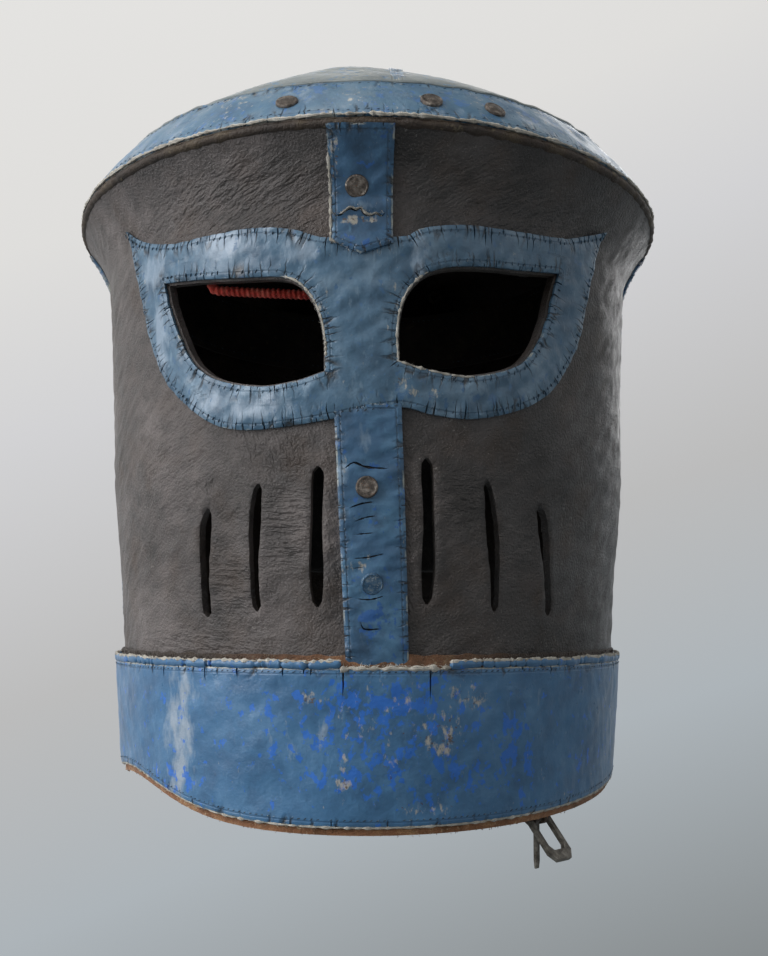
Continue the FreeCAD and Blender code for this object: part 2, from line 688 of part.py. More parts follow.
# ---------------------------------------------------------------- buckle on its riveted tab
# the tab's own frame: X along the wall, Y into the helmet, Z up the wall, origin at the rivet
tab_point, tab_outward = tab_seat
tab_inward = tab_outward * -1
along_wall = tab_inward.cross(V(0, 0, 1)).normalize()
tab_turn = FreeCAD.Rotation(along_wall, tab_inward, V(0, 0, 1), "YXZ")
tab_place = FreeCAD.Placement(tab_point + tab_inward * size("tab_clearance"), tab_turn)


def buckle_tab():
    """Two plies of strap stitched together, with a fold at the foot that holds the buckle's bar."""
    both = "tab_ply * 2"
    plate = padded("Tab_plate", "YZ_Plane", [
        ("0", "-(bar_drop - tab_ply)"), (both, "-(bar_drop - tab_ply)"),
        (both, "tab_top"), ("0", "tab_top")], "tab_width")
    fold = doc.addObject("Part::Cylinder", "Tab_fold")
    fold.setExpression("Radius", bound("bar_radius + fold_clearance + tab_ply"))
    fold.setExpression("Height", bound("frame_width - frame_side * 2 - fold_side_gap * 2"))
    bore = doc.addObject("Part::Cylinder", "Tab_bore")
    bore.setExpression("Radius", bound("bar_radius + fold_clearance"))
    bore.setExpression("Height", bound("frame_width * 2"))
    for cylinder in (fold, bore):
        cylinder.setExpression("Placement.Base.x", "-Height / 2")
        cylinder.setExpression("Placement.Base.y", bound("tab_ply"))
        cylinder.setExpression("Placement.Base.z", bound("-bar_drop"))
        cylinder.Placement.Rotation = FreeCAD.Rotation(V(0, 1, 0), 90)
    slot = doc.addObject("Part::Box", "Tab_prong_slot")
    slot.setExpression("Length", bound("prong_slot"))
    slot.setExpression("Width", bound("tab_ply * 6"))
    slot.setExpression("Height", bound("bar_radius * 2 + tab_ply * 3.4"))
    slot.setExpression("Placement.Base.x", "-Length / 2")
    slot.setExpression("Placement.Base.y", bound("-tab_ply * 2"))
    slot.setExpression("Placement.Base.z", bound("-bar_drop - bar_radius - tab_ply * 1.7"))
    eye = doc.addObject("Part::Cylinder", "Tab_rivet_hole")
    eye.setExpression("Radius", bound("shank_radius + shank_clearance"))
    eye.setExpression("Height", bound("tab_ply * 4"))
    eye.setExpression("Placement.Base.y", bound("tab_ply * 3"))
    eye.Placement.Rotation = FreeCAD.Rotation(V(1, 0, 0), 90)
    joined = doc.addObject("Part::Fuse", "Tab_joined")
    joined.Base, joined.Tool = plate, fold
    cuts = joined
    for name, tool in (("Tab_bored", bore), ("Tab_slotted", slot), ("Tab", eye)):
        cut = doc.addObject("Part::Cut", name)
        cut.Base, cut.Tool = cuts, tool
        cuts = cut
    cuts.Placement = tab_place
    return node(cuts, "buckle_tab")


buckle_tab()

# the buckle's frame: X along the bar, Z up, origin at the middle of the bar
bar_point = tab_place.multVec(V(0, size("tab_ply"), -size("bar_drop")))
level_inward = V(tab_inward.x, tab_inward.y, 0).normalize()
bar_turn = FreeCAD.Rotation(along_wall, level_inward, V(0, 0, 1), "YXZ")
bar_place = FreeCAD.Placement(bar_point, bar_turn)


def buckle_frame():
    """A pressed steel loop, narrower at its outer end, on a round bar."""
    half, end = "frame_width / 2", "frame_end_width / 2"
    shoulder = "-frame_length + frame_end * 0.8"
    plate = padded("Frame_plate", "XZ_Plane", [
        (f"-({half})", "bar_radius"), (f"-({half})", shoulder), (f"-({end})", "-frame_length"),
        (end, "-frame_length"), (half, shoulder), (half, "bar_radius")], "frame_ply")
    inner, sill = "frame_width / 2 - frame_side", "-frame_length + frame_end"
    narrow = "frame_end_width / 2 - frame_side * 0.5"
    window = padded("Frame_window", "XZ_Plane", [
        (f"-({inner})", "bar_radius * 2"), (f"-({inner})", f"{shoulder} + frame_end * 0.7"),
        (f"-({narrow})", sill), (narrow, sill),
        (inner, f"{shoulder} + frame_end * 0.7"), (inner, "bar_radius * 2")], "frame_ply * 3")
    loop = doc.addObject("Part::Cut", "Frame_loop")
    loop.Base, loop.Tool = plate, window
    bar = doc.addObject("Part::Cylinder", "Frame_bar")
    bar.setExpression("Radius", bound("bar_radius"))
    bar.setExpression("Height", bound("frame_width - frame_side * 0.4"))
    bar.setExpression("Placement.Base.x", "-Height / 2")
    bar.Placement.Rotation = FreeCAD.Rotation(V(0, 1, 0), 90)
    frame = doc.addObject("Part::Fuse", "Frame")
    frame.Base, frame.Tool = loop, bar
    swing = FreeCAD.Placement(V(0, 0, 0), FreeCAD.Rotation(V(1, 0, 0), -size("frame_swing")))
    frame.Placement = bar_place.multiply(swing)
    return node(frame, "buckle_frame")


def buckle_prong():
    """A flat tongue rolled round the bar; it hangs straight down."""
    ring = doc.addObject("Part::Cylinder", "Prong_ring")
    ring.setExpression("Radius", bound("bar_radius + prong_clearance + 0.9"))
    ring.setExpression("Height", bound("prong_width"))
    bore = doc.addObject("Part::Cylinder", "Prong_bore")
    bore.setExpression("Radius", bound("bar_radius + prong_clearance"))
    bore.setExpression("Height", bound("prong_width * 3"))
    for cylinder in (ring, bore):
        cylinder.setExpression("Placement.Base.x", "-Height / 2")
        cylinder.Placement.Rotation = FreeCAD.Rotation(V(0, 1, 0), 90)
    tongue = padded("Prong_tongue", "YZ_Plane", [
        ("-(prong_ply / 2)", "-(bar_radius + prong_clearance * 2)"),
        ("-(prong_ply / 2)", "-prong_length + 3"), ("-(prong_ply / 4)", "-prong_length"),
        ("prong_ply / 4", "-prong_length"), ("prong_ply / 2", "-prong_length + 3"),
        ("prong_ply / 2", "-(bar_radius + prong_clearance * 2)")], "prong_width")
    whole = doc.addObject("Part::Fuse", "Prong_whole")
    whole.Base, whole.Tool = tongue, ring
    prong = doc.addObject("Part::Cut", "Prong")
    prong.Base, prong.Tool = whole, bore
    prong.Placement = bar_place
    return node(prong, "buckle_prong")


buckle_frame()
buckle_prong()

# rivets that hold the tab and the neck strap: cap on the inside, shank flush with the shell's outer face
tab_rivet = rivet_body("Tab_rivet", "tab_clearance + tab_ply * 2 + wall_leather")
tab_head = tab_point + tab_inward * (size("tab_clearance") + 2 * size("tab_ply"))
rivet_group("tab_rivet", (tab_rivet, [(tab_head, tab_inward)]))
strap_rivet = rivet_body("Strap_rivet", "(layer_gap + strap_leather) * depth_ratio + wall_leather")
strap_inward = strap_seat[1] * -1
strap_head = strap_seat[0] + strap_inward * (GAP + size("strap_leather")) * size("depth_ratio")
rivet_group("strap_rivet", (strap_rivet, [(strap_head, strap_inward)]))

# ---------------------------------------------------------------- checks and files
doc.recompute()
for obj in doc.Objects:
    if "Invalid" in obj.State or "Error" in obj.State:
        raise SystemExit(f"{obj.Label} failed: {obj.State}")
for obj in NODES:
    if obj.Shape.isNull() or not obj.Shape.isValid() or not obj.Shape.Solids:
        raise SystemExit(f"{obj.Label} has no valid solid")
os.makedirs("parts", exist_ok=True)
for obj in NODES:
    obj.Shape.exportStep(f"parts/{obj.Label}.step")
    box = obj.Shape.BoundBox
    print(f"{obj.Label}: {len(obj.Shape.Solids)} solids, {obj.Shape.Volume:.0f} mm3, "
          f"z {box.ZMin:.1f} to {box.ZMax:.1f}")
print(f"tab rivet at {tab_point}, axis {tab_inward}; bar at {bar_point}, axis {along_wall}")
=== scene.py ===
import bpy
import math
import numpy as np
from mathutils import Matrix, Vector
from mathutils.kdtree import KDTree


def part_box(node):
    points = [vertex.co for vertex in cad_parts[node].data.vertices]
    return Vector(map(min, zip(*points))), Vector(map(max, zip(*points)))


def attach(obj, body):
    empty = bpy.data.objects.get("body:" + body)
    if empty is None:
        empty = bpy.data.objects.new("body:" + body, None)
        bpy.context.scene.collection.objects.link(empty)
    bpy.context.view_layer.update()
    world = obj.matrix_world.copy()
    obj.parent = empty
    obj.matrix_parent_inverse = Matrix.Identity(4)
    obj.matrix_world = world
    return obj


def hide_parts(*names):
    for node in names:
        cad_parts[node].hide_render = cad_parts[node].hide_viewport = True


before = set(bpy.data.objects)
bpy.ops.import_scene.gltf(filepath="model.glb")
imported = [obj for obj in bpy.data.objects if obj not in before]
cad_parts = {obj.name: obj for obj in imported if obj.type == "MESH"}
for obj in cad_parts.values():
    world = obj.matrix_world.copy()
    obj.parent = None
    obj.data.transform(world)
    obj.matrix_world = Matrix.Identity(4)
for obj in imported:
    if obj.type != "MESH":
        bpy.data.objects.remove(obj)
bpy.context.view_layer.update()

bpy.ops.object.select_all(action="DESELECT")
mm = 0.001

# the two oval forms that every leather piece is stretched over, in millimetres
form = {"halfWidth": 106.0, "ratio": 1.15, "rise": 0.07, "rim": -49.5, "flare": 16.0,
        "flareHeight": 22.0, "footOut": 3.7, "flareMiddle": 0.36, "cheek": -160.0, "hemTaper": 9.7,
        "hemReach": -300.0, "crownRise": 66.0, "hem": -269.0, "hemSlope": 0.083, "bandTop": -225.0,
        "seam": 10.0, "lean": math.radians(1.7), "leanHeight": -200.0}
rimHalf = form["halfWidth"] + form["flare"]
crownRadius = (rimHalf ** 2 + form["crownRise"] ** 2) / (2 * form["crownRise"])
crownCentre = form["rim"] + form["crownRise"] - crownRadius


# centre and radius of the flare's arc under the brow seam
def flareArc():
    foot, wide = form["rim"] - form["flareHeight"], form["halfWidth"] + form["footOut"]
    points = [(wide, foot),
              (wide + (form["flare"] - form["footOut"]) * form["flareMiddle"],
               (foot + form["rim"]) / 2),
              (rimHalf, form["rim"])]
    rows = [[2 * (b[0] - a[0]), 2 * (b[1] - a[1])] for a, b in zip(points, points[1:])]
    sides = [b[0] ** 2 + b[1] ** 2 - a[0] ** 2 - a[1] ** 2 for a, b in zip(points, points[1:])]
    centre = np.linalg.solve(rows, sides)
    return centre, math.dist(centre, points[0])


flareCentre, flareRadius = flareArc()


# half-width of the wall at heights of the upright form
def wallHalf(upright):
    foot = form["rim"] - form["flareHeight"]
    low = form["halfWidth"] - form["hemTaper"] * (form["cheek"] - upright) / (form["cheek"] - form["hemReach"])
    side = form["halfWidth"] + form["footOut"] * (upright - form["cheek"]) / (foot - form["cheek"])
    lift = np.clip(upright, foot, form["rim"] + 4) - flareCentre[1]
    arc = flareCentre[0] - np.sqrt(flareRadius ** 2 - lift ** 2)
    return np.where(upright < form["cheek"], low, np.where(upright < foot, side, arc))


# numbers and arrays brought to one length
def alike(*values):
    return np.broadcast_arrays(*(np.asarray(value, float) for value in values))


turns = np.linspace(-math.pi, math.pi, 2881)      # every eighth of a degree round the form
speed = form["halfWidth"] * np.hypot(np.cos(turns), form["ratio"] * np.sin(turns))
runs = np.concatenate([[0], np.cumsum((speed[1:] + speed[:-1]) / 2 * np.diff(turns))])
runs -= runs[len(runs) // 2]
halfGirth = runs[-1]


# the angle from the front at a distance round the form
def turnAt(x):
    return np.interp(x, runs, turns)


def placed(turn, radius, upright):
    across, back = radius * np.sin(turn), -form["ratio"] * radius * np.cos(turn)
    return np.column_stack([across, back, upright - form["rise"] * back]) * mm


# flat leather to the wall: x round from the front, y its height, depth out from the shell
def onWall(x, y, depth):
    x, y, depth = alike(x, y, depth)
    turn = turnAt(x)
    upright = y
    for _ in range(4):
        radius = wallHalf(upright) + depth
        upright = y - form["rise"] * form["ratio"] * radius * np.cos(turn)
    return placed(turn, radius, upright)


# plan coordinates to the crown: x to the side, y to the back before the stretch
def onCrown(x, y, depth):
    x, y, depth = alike(x, y, depth)
    reach = np.minimum(np.hypot(x, y), crownRadius - 1)
    share = (crownRadius + depth) / crownRadius
    upright = crownCentre + np.sqrt(crownRadius ** 2 - reach ** 2) * share
    return placed(np.arctan2(x, -y), reach * share, upright)


# x round the brow seam, y up the crown's slope from it
def onBrow(x, y, depth):
    x, y, depth = alike(x, y, depth)
    slope = math.atan2(rimHalf, form["rim"] - crownCentre) - y / crownRadius
    radius = crownRadius + depth
    return placed(turnAt(x), radius * np.sin(slope), crownCentre + radius * np.cos(slope))


# x round the brow seam, y up and depth out from the welt's middle
def onWelt(x, y, depth):
    x, y, depth = alike(x, y, depth)
    return placed(turnAt(x), rimHalf - 1.6 + depth, form["rim"] + y)


# where a point seen from the front at x, height y lies along the flat leather
def flatX(x, y):
    x, y = np.asarray(x, float), np.asarray(y, float)
    turn = np.zeros_like(x)
    for _ in range(6):
        upright = y - form["rise"] * form["ratio"] * form["halfWidth"] * np.cos(turn)
        turn = np.arcsin(np.clip(x / wallHalf(upright), -0.999, 0.999))
    return np.interp(turn, turns, runs)


# an outline seen from the front, laid flat; the eye pattern leans a little to one side
def flat(points, leaned=True):
    points = np.array(points, float)
    slope = math.tan(form["lean"]) if leaned else 0
    height = points[:, 1] + points[:, 0] * slope
    return np.column_stack([flatX(points[:, 0] - (points[:, 1] - form["leanHeight"]) * slope, height), height])


# the cut foot of the wall; it has pulled up a little on one side of the chin
def hemAt(x):
    pulled = 9.0 * np.exp(-((x + 118) / 42) ** 2)
    return form["hem"] - form["hemSlope"] * form["ratio"] * form["halfWidth"] * np.cos(turnAt(x)) + pulled


def rimAt(x):
    return form["rim"] + form["rise"] * form["ratio"] * rimHalf * np.cos(turnAt(x))


def level(height):
    return lambda x: np.full_like(x, height)


# a line of points at the given x, at one height or at a height each
def row(x, height):
    return np.column_stack([x, np.full_like(x, height)])


# soft unevenness about 1 high: crossing ripples of about one width
def waves(x, y, width, seed, stretch=1.0, heading=0.0):
    draw = np.random.default_rng(seed)
    along = x * math.cos(heading) + y * math.sin(heading)
    across = y * math.cos(heading) - x * math.sin(heading)
    total = np.zeros_like(x)
    for _ in range(14):
        angle, phase = draw.uniform(0, 2 * math.pi, 2)
        pitch = 2 * math.pi / (width * draw.uniform(0.7, 1.6))
        total += np.cos(pitch * (along / stretch * math.cos(angle) + across * math.sin(angle)) + phase)
    return total / 5.0


# working on meshes
def select(piece):
    bpy.ops.object.select_all(action="DESELECT")
    piece.select_set(True)
    bpy.context.view_layer.objects.active = piece


# joins points nearer than the gap and, where asked, turns the faces outwards
def mend(piece, gap=0.0, outwards=False):
    select(piece)
    bpy.ops.object.mode_set(mode="EDIT")
    bpy.ops.mesh.select_all(action="SELECT")
    if gap:
        bpy.ops.mesh.remove_doubles(threshold=gap)
    if outwards:
        bpy.ops.mesh.normals_make_consistent(inside=False)
    bpy.ops.object.mode_set(mode="OBJECT")


# a section spun about the upright axis, welded at its pole and seam
def spun(name, section, steps, inwards=False):
    bpy.ops.object.select_all(action="DESELECT")
    bpy.ops.mesh.primitive_plane_add()
    piece = bpy.context.object
    piece.name = name
    piece.data.clear_geometry()
    piece.data.from_pydata([(x, 0, z) for x, z in section], [(i, i + 1) for i in range(len(section) - 1)], [])
    bpy.ops.object.mode_set(mode="EDIT")
    bpy.ops.mesh.select_all(action="SELECT")
    bpy.ops.mesh.spin(steps=steps, angle=2 * math.pi, center=(0, 0, 0), axis=(0, 0, 1))
    bpy.ops.mesh.select_all(action="SELECT")
    bpy.ops.mesh.remove_doubles(threshold=0.001)
    bpy.ops.mesh.normals_make_consistent(inside=inwards)
    bpy.ops.object.mode_set(mode="OBJECT")
    return piece


def applyAll(piece):
    select(piece)
    for modifier in list(piece.modifiers):
        bpy.ops.object.modifier_apply(modifier=modifier.name)


def coordsOf(piece):
    coords = np.empty(len(piece.data.vertices) * 3)
    piece.data.vertices.foreach_get("co", coords)
    return coords.reshape(-1, 3)


def setCoords(piece, coords):
    piece.data.vertices.foreach_set("co", np.asarray(coords, float).ravel())
    piece.data.update()


def setAttribute(piece, name, values):
    attribute = piece.data.attributes.get(name) or piece.data.attributes.new(name, "FLOAT", "POINT")
    attribute.data.foreach_set("value", np.asarray(values, np.float32))


def fromMesh(name, vertices, faces):
    mesh = bpy.data.meshes.new(name)
    mesh.from_pydata([tuple(v) for v in vertices], [], [tuple(int(i) for i in f) for f in faces])
    piece = bpy.data.objects.new(name, mesh)
    bpy.context.scene.collection.objects.link(piece)
    return piece


# smooths, paints and hangs a piece on its body
def finish(piece, material, slot, nodes=(), body="helmet", angle=40):
    if material is not None:
        piece.data.materials.clear()
        for one in (material if isinstance(material, (list, tuple)) else [material]):
            piece.data.materials.append(one)
    select(piece)
    bpy.ops.object.shade_smooth_by_angle(angle=math.radians(angle))
    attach(piece, body)
    if nodes:
        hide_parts(*nodes)
    return piece


# a smooth line through the points, sharp only at the numbered corners
def traced(points, corners=(), step=0.9, closed=True):
    points = np.array(points, float)
    count = len(points)
    line = []
    for i in range(count if closed else count - 1):
        a, b = points[i], points[(i + 1) % count]
        openStart, openEnd = not closed and i == 0, not closed and i == count - 2
        before = a if i in corners or openStart else points[i - 1]
        after = b if (i + 1) % count in corners or openEnd else points[(i + 2) % count]
        gap = np.linalg.norm(b - a)
        leave, arrive = (b - before), (after - a)
        leave, arrive = leave / np.linalg.norm(leave) * gap, arrive / np.linalg.norm(arrive) * gap
        t = np.linspace(0, 1, max(2, round(gap / step)), endpoint=False)[:, None]
        line.append((2 * t ** 3 - 3 * t ** 2 + 1) * a + (t ** 3 - 2 * t ** 2 + t) * leave
                    + (3 * t ** 2 - 2 * t ** 3) * b + (t ** 3 - t ** 2) * arrive)
    if not closed:
        line.append(points[-1:])
    return np.vstack(line)


# unit normals of a flat line, to the left of its run
def sideways(line, closed=True):
    ahead = np.roll(line, -1, 0) - np.roll(line, 1, 0)
    if not closed:
        ahead[0], ahead[-1] = line[1] - line[0], line[-1] - line[-2]
    ahead /= np.linalg.norm(ahead, axis=1)[:, None] + 1e-9
    return np.column_stack([-ahead[:, 1], ahead[:, 0]])


def area(line):
    nextLine = np.roll(line, -1, 0)
    return np.sum(line[:, 0] * nextLine[:, 1] - nextLine[:, 0] * line[:, 1]) / 2


# the closed line moved inwards
def inset(line, distance):
    return line + sideways(line) * distance * np.sign(area(line))


# points and headings at an even pitch along a line
def spaced(line, pitch):
    steps = np.linalg.norm(np.diff(line, axis=0), axis=1)
    run = np.concatenate([[0], np.cumsum(steps)])
    at = np.arange(pitch / 2, run[-1], pitch)
    points = np.column_stack([np.interp(at, run, line[:, 0]), np.interp(at, run, line[:, 1])])
    ahead = np.column_stack([np.interp(at + 0.2, run, line[:, 0]), np.interp(at + 0.2, run, line[:, 1])]) - points
    return points, np.arctan2(ahead[:, 1], ahead[:, 0])


# a flat piece of leather on the bench: a grid with its low and high edge shaped, made solid
def sheet(name, left, right, low, high, step, base, thick):
    bpy.ops.object.select_all(action="DESELECT")
    tall = float(np.max(high(np.array([left, 0.0, right])) - low(np.array([left, 0.0, right]))))
    bpy.ops.mesh.primitive_grid_add(x_subdivisions=max(2, round((right - left) / step)),
                                    y_subdivisions=max(2, round(tall / step)), size=1)
    piece = bpy.context.object
    piece.name = piece.data.name = name
    bench = coordsOf(piece)
    x = left + (right - left) * (bench[:, 0] + 0.5)
    y = low(x) + (high(x) - low(x)) * (bench[:, 1] + 0.5)
    setCoords(piece, np.column_stack([x, y, np.full_like(x, base)]))
    solid = piece.modifiers.new("thickness", "SOLIDIFY")
    solid.thickness = thick
    solid.offset = 1
    applyAll(piece)
    return piece


# stamps outlines out of a flat piece, or keeps only what is inside them
def cut(piece, outlines, operation="DIFFERENCE"):
    vertices, faces = [], []
    for outline in outlines:
        faces.append(range(len(vertices), len(vertices) + len(outline)))
        vertices.extend((x, y, 0) for x, y in outline)
    die = fromMesh("die", vertices, faces)
    solid = die.modifiers.new("height", "SOLIDIFY")
    solid.thickness = 60
    solid.offset = 0
    applyAll(die)
    boolean = piece.modifiers.new("cut", "BOOLEAN")
    boolean.operation = operation
    boolean.object = die
    boolean.solver = "MANIFOLD"
    applyAll(piece)
    bpy.data.objects.remove(die)


# stores each point's distance to the nearest cut edge, and how far along that edge it is
def nameEdges(piece, outlines):
    lines, along, start = [], [], 0.0
    for outline in outlines:
        steps = np.linalg.norm(np.diff(outline, axis=0), axis=1)
        run = np.concatenate([[0], np.cumsum(steps)])
        at = np.arange(0, run[-1], 0.4)
        lines.append(np.column_stack([np.interp(at, run, outline[:, 0]), np.interp(at, run, outline[:, 1])]))
        along.append(at + start)
        start += run[-1] + 20
    line, along = np.vstack(lines), np.concatenate(along)
    tree = KDTree(len(line))
    for index, (x, y) in enumerate(line):
        tree.insert((x, y, 0), index)
    tree.balance()
    found = [tree.find((x, y, 0))[1:] for x, y, _ in coordsOf(piece)]
    gap = np.array([f[1] for f in found])
    setAttribute(piece, "edgeGap", gap)
    setAttribute(piece, "edgeRun", along[[f[0] for f in found]])
    return gap


# lays a flat piece over its form; its outer edge is rounded where a gap to the edge is given
def wrap(piece, shape, base, thick, swell=None, gap=None, rounding=0.4):
    bench = coordsOf(piece)
    x, y, depth = bench.T
    share = (depth - base) / thick
    if gap is not None:
        fall = (1 - np.clip(gap / 1.4, 0, 1)) ** 2 * rounding
        depth = depth - fall * share + fall * (1 - share) * 0.3
    if swell is not None:
        depth = depth + swell(x, y)
    setCoords(piece, shape(x, y, depth))
    return share


# one mesh of many copies of a small shape, each laid on the form along its heading
def copies(name, template, shape, x, y, depth, heading, sizes):
    vertices, faces = template
    x, y, depth, heading = alike(x, y, depth, heading)
    origin = shape(x, y, depth)
    right = shape(x + 0.1, y, depth) - origin
    up = shape(x, y + 0.1, depth) - origin
    ahead = right * np.cos(heading)[:, None] + up * np.sin(heading)[:, None]
    ahead /= np.linalg.norm(ahead, axis=1)[:, None]
    outward = np.cross(right, up)
    outward /= np.linalg.norm(outward, axis=1)[:, None]
    aside = np.cross(outward, ahead)
    axes = np.stack([ahead, aside, outward], 1)
    sizes = np.broadcast_to(np.asarray(sizes, float), (len(x), 3))
    local = vertices[None] * sizes[:, None] * mm
    points = origin[:, None] + np.einsum("nvi,nij->nvj", local, axes)
    count = len(vertices)
    allFaces = [[i + number * count for i in face] for number in range(len(x)) for face in faces]
    return fromMesh(name, points.reshape(-1, 3), allFaces)


# a small shape made once, one unit across, to be copied
def template(add, **settings):
    bpy.ops.object.select_all(action="DESELECT")
    add(**settings)
    shape = bpy.context.object
    made = coordsOf(shape), [tuple(face.vertices) for face in shape.data.polygons]
    bpy.data.objects.remove(shape)
    return made


stitchShape = template(bpy.ops.mesh.primitive_ico_sphere_add, subdivisions=1, radius=0.5)
fibreShape = template(bpy.ops.mesh.primitive_cone_add, vertices=3, radius1=0.5, radius2=0.08, depth=1,
                      rotation=(0, math.radians(90), 0), location=(0.5, 0, 0))


# several new pieces as one object
def joined(name, parts):
    bpy.ops.object.select_all(action="DESELECT")
    for part in parts:
        part.select_set(True)
    bpy.context.view_layer.objects.active = parts[0]
    if len(parts) > 1:
        bpy.ops.object.join()
    parts[0].name = parts[0].data.name = name
    return parts[0]


# rows of hand stitches: each thread dips into its holes, and a few are gone
def stitching(name, shape, lines, depth, pitch=2.6, length=1.5, width=0.5, seed=3, turned=0.35):
    draw = np.random.default_rng(seed)
    rows = []
    for line in lines:
        points, heading = spaced(line, pitch)
        keep = draw.random(len(points)) > 0.08
        points, heading = points[keep], heading[keep] + turned + draw.normal(0, 0.15, keep.sum())
        long = length * draw.uniform(0.8, 1.1, len(points))
        sizes = np.column_stack([long, np.full(len(points), width), np.full(len(points), 0.5)])
        rows.append(copies(name, stitchShape, shape, points[:, 0], points[:, 1],
                           depth + draw.normal(0, 0.04, len(points)), heading, sizes))
    return joined(name, rows)


# loose fibres along a torn edge
def fibres(name, shape, line, depth, count, length, seed, spread=1.2, fall=0.0):
    draw = np.random.default_rng(seed)
    points, heading = spaced(line, 0.25)
    pick = draw.integers(0, len(points), count)
    angle = heading[pick] + math.pi / 2 * fall + draw.normal(0, spread, count)
    sizes = np.column_stack([draw.uniform(0.3, 1, count) * length, np.full(count, 0.24), np.full(count, 0.24)])
    jitter = draw.normal(0, 0.35, (count, 2))
    return copies(name, fibreShape, shape, points[pick, 0] + jitter[:, 0], points[pick, 1] + jitter[:, 1],
                  depth + draw.uniform(-0.3, 0.3, count), angle, sizes)


# a bead that follows a line over a form, its size uneven along its run
def roll(name, shape, line, depth, across, up, sides=10, closed=False, seed=1, rough=0.25, pitch=2.0,
         pinches=()):
    normal = sideways(line, closed)
    steps = np.concatenate([[0], np.cumsum(np.linalg.norm(np.diff(line, axis=0), axis=1))])
    uneven = 1 + rough * waves(steps, steps * 0, pitch, seed)
    for pinch in pinches:
        uneven *= 1 - 0.6 * np.exp(-((line[:, 0] - pinch) / 0.45) ** 2)
    uneven = np.maximum(uneven, 0.12)
    if not closed:
        uneven[[0, -1]] *= 0.35
    across = np.broadcast_to(across, len(line)) * uneven
    up = np.broadcast_to(up, len(line)) * uneven
    vertices = []
    for angle in np.linspace(0, 2 * math.pi, sides, endpoint=False):
        aside = line + normal * (across * math.cos(angle))[:, None]
        vertices.append(shape(aside[:, 0], aside[:, 1], depth + up * math.sin(angle)))
    vertices = np.stack(vertices, 1).reshape(-1, 3)
    faces = []
    count = len(line)
    for i in range(count if closed else count - 1):
        j = (i + 1) % count
        for k in range(sides):
            n = (k + 1) % sides
            faces.append((i * sides + k, i * sides + n, j * sides + n, j * sides + k))
    if not closed:
        faces.append(range(sides - 1, -1, -1))
        faces.append(range((count - 1) * sides, count * sides))
    piece = fromMesh(name, vertices, faces)
    mend(piece, outwards=True)
    return piece


# thin bent wedges cut in from an edge, where the leather has cracked
def notches(outline, places, depths, width, inwards=1.0, seed=5):
    draw = np.random.default_rng(seed)
    normal = sideways(outline) * np.sign(area(outline)) * inwards
    wedges = []
    for place, depth in zip(places, depths):
        point, inward = outline[place], normal[place]
        along = np.array([inward[1], -inward[0]])
        bend = along * draw.normal(0, 0.06) * depth
        half = width * draw.uniform(0.6, 1.3) / 2
        middle = point + inward * depth * 0.5 + bend
        tip = point + inward * depth + bend * draw.uniform(-0.5, 1.5)
        start = point - inward * 0.8
        wedges.append([start - along * half, start + along * half, middle + along * half * 0.7, tip,
                       middle - along * half * 0.7])
    return wedges


# a crack across the leather: a thin lens along its points
def split(points, width):
    line = traced(points, closed=False, step=1.2)
    share = np.linspace(0, 1, len(line))
    half = width / 2 * np.sqrt(np.clip(1 - (2 * share - 1) ** 2, 0.02, 1))
    half *= 1 + 0.35 * np.sin(share * 23)
    normal = sideways(line, False)
    return np.vstack([line + normal * half[:, None], (line - normal * half[:, None])[::-1]])


# materials
def toLinear(colour):
    parts = [int(colour[i:i + 2], 16) / 255 for i in (1, 3, 5)]
    return [p / 12.92 if p <= 0.04045 else ((p + 0.055) / 1.055) ** 2.4 for p in parts] + [1.0]


# adds one shader node; a link may name a node, and then starts at its first live output
def addNode(tree, kind, settings={}, links={}):
    node = tree.nodes.new("ShaderNode" + kind)
    for name, value in settings.items():
        if isinstance(name, str) and hasattr(node, name):
            setattr(node, name, value)
        else:
            node.inputs[name].default_value = value
    for name, source in links.items():
        if hasattr(source, "outputs"):
            source = next(socket for socket in source.outputs if socket.enabled)
        tree.links.new(source, node.inputs[name])
    return node


def newMaterial(name, roughness):
    material = bpy.data.materials.new(name)
    material.use_nodes = True
    tree = material.node_tree
    surface = tree.nodes["Principled BSDF"]
    surface.inputs["Roughness"].default_value = roughness
    place = addNode(tree, "TexCoord").outputs["Object"]
    return material, tree, surface, place


# colour stops read along a value
def colours(tree, source, stops):
    ramp = addNode(tree, "ValToRGB", {}, {"Fac": source})
    marks = ramp.color_ramp.elements
    for at, colour in stops[1:-1]:
        marks.new(at).color = toLinear(colour)
    marks[0].color = toLinear(stops[0][1])
    marks[len(marks) - 1].color = toLinear(stops[-1][1])
    return ramp


# lays colours over each other, each by its own mask
def over(tree, below, layers):
    for mask, colour in layers:
        links = {0: mask, 6: below}
        settings = {"data_type": "RGBA"}
        if isinstance(colour, str):
            settings[7] = toLinear(colour)
        else:
            links[7] = colour
        below = addNode(tree, "Mix", settings, links)
    return below


# heights added together, each by its own share
def addUp(tree, parts):
    total = None
    for source, share in parts:
        links = {0: source}
        if total is not None:
            links[2] = total
        total = addNode(tree, "Math", {"operation": "MULTIPLY_ADD", 1: share, 2: 0.0}, links)
    return total


# patches about one size across, as a mask between two levels of a noise
def mottle(tree, place, size, low, high, detail=4.0, seed=0.0, squeeze=(1, 1, 1), turn=(0, 0, 0)):
    moved = addNode(tree, "Mapping", {"vector_type": "TEXTURE", "Location": (seed, seed, seed), "Rotation": turn,
                                      "Scale": tuple(1 / s for s in squeeze)}, {"Vector": place})
    noise = addNode(tree, "TexNoise", {"Scale": 1 / (size * mm), "Detail": detail, "Roughness": 0.6},
                    {"Vector": moved})
    return addNode(tree, "MapRange", {"From Min": low, "From Max": high}, {"Value": noise})


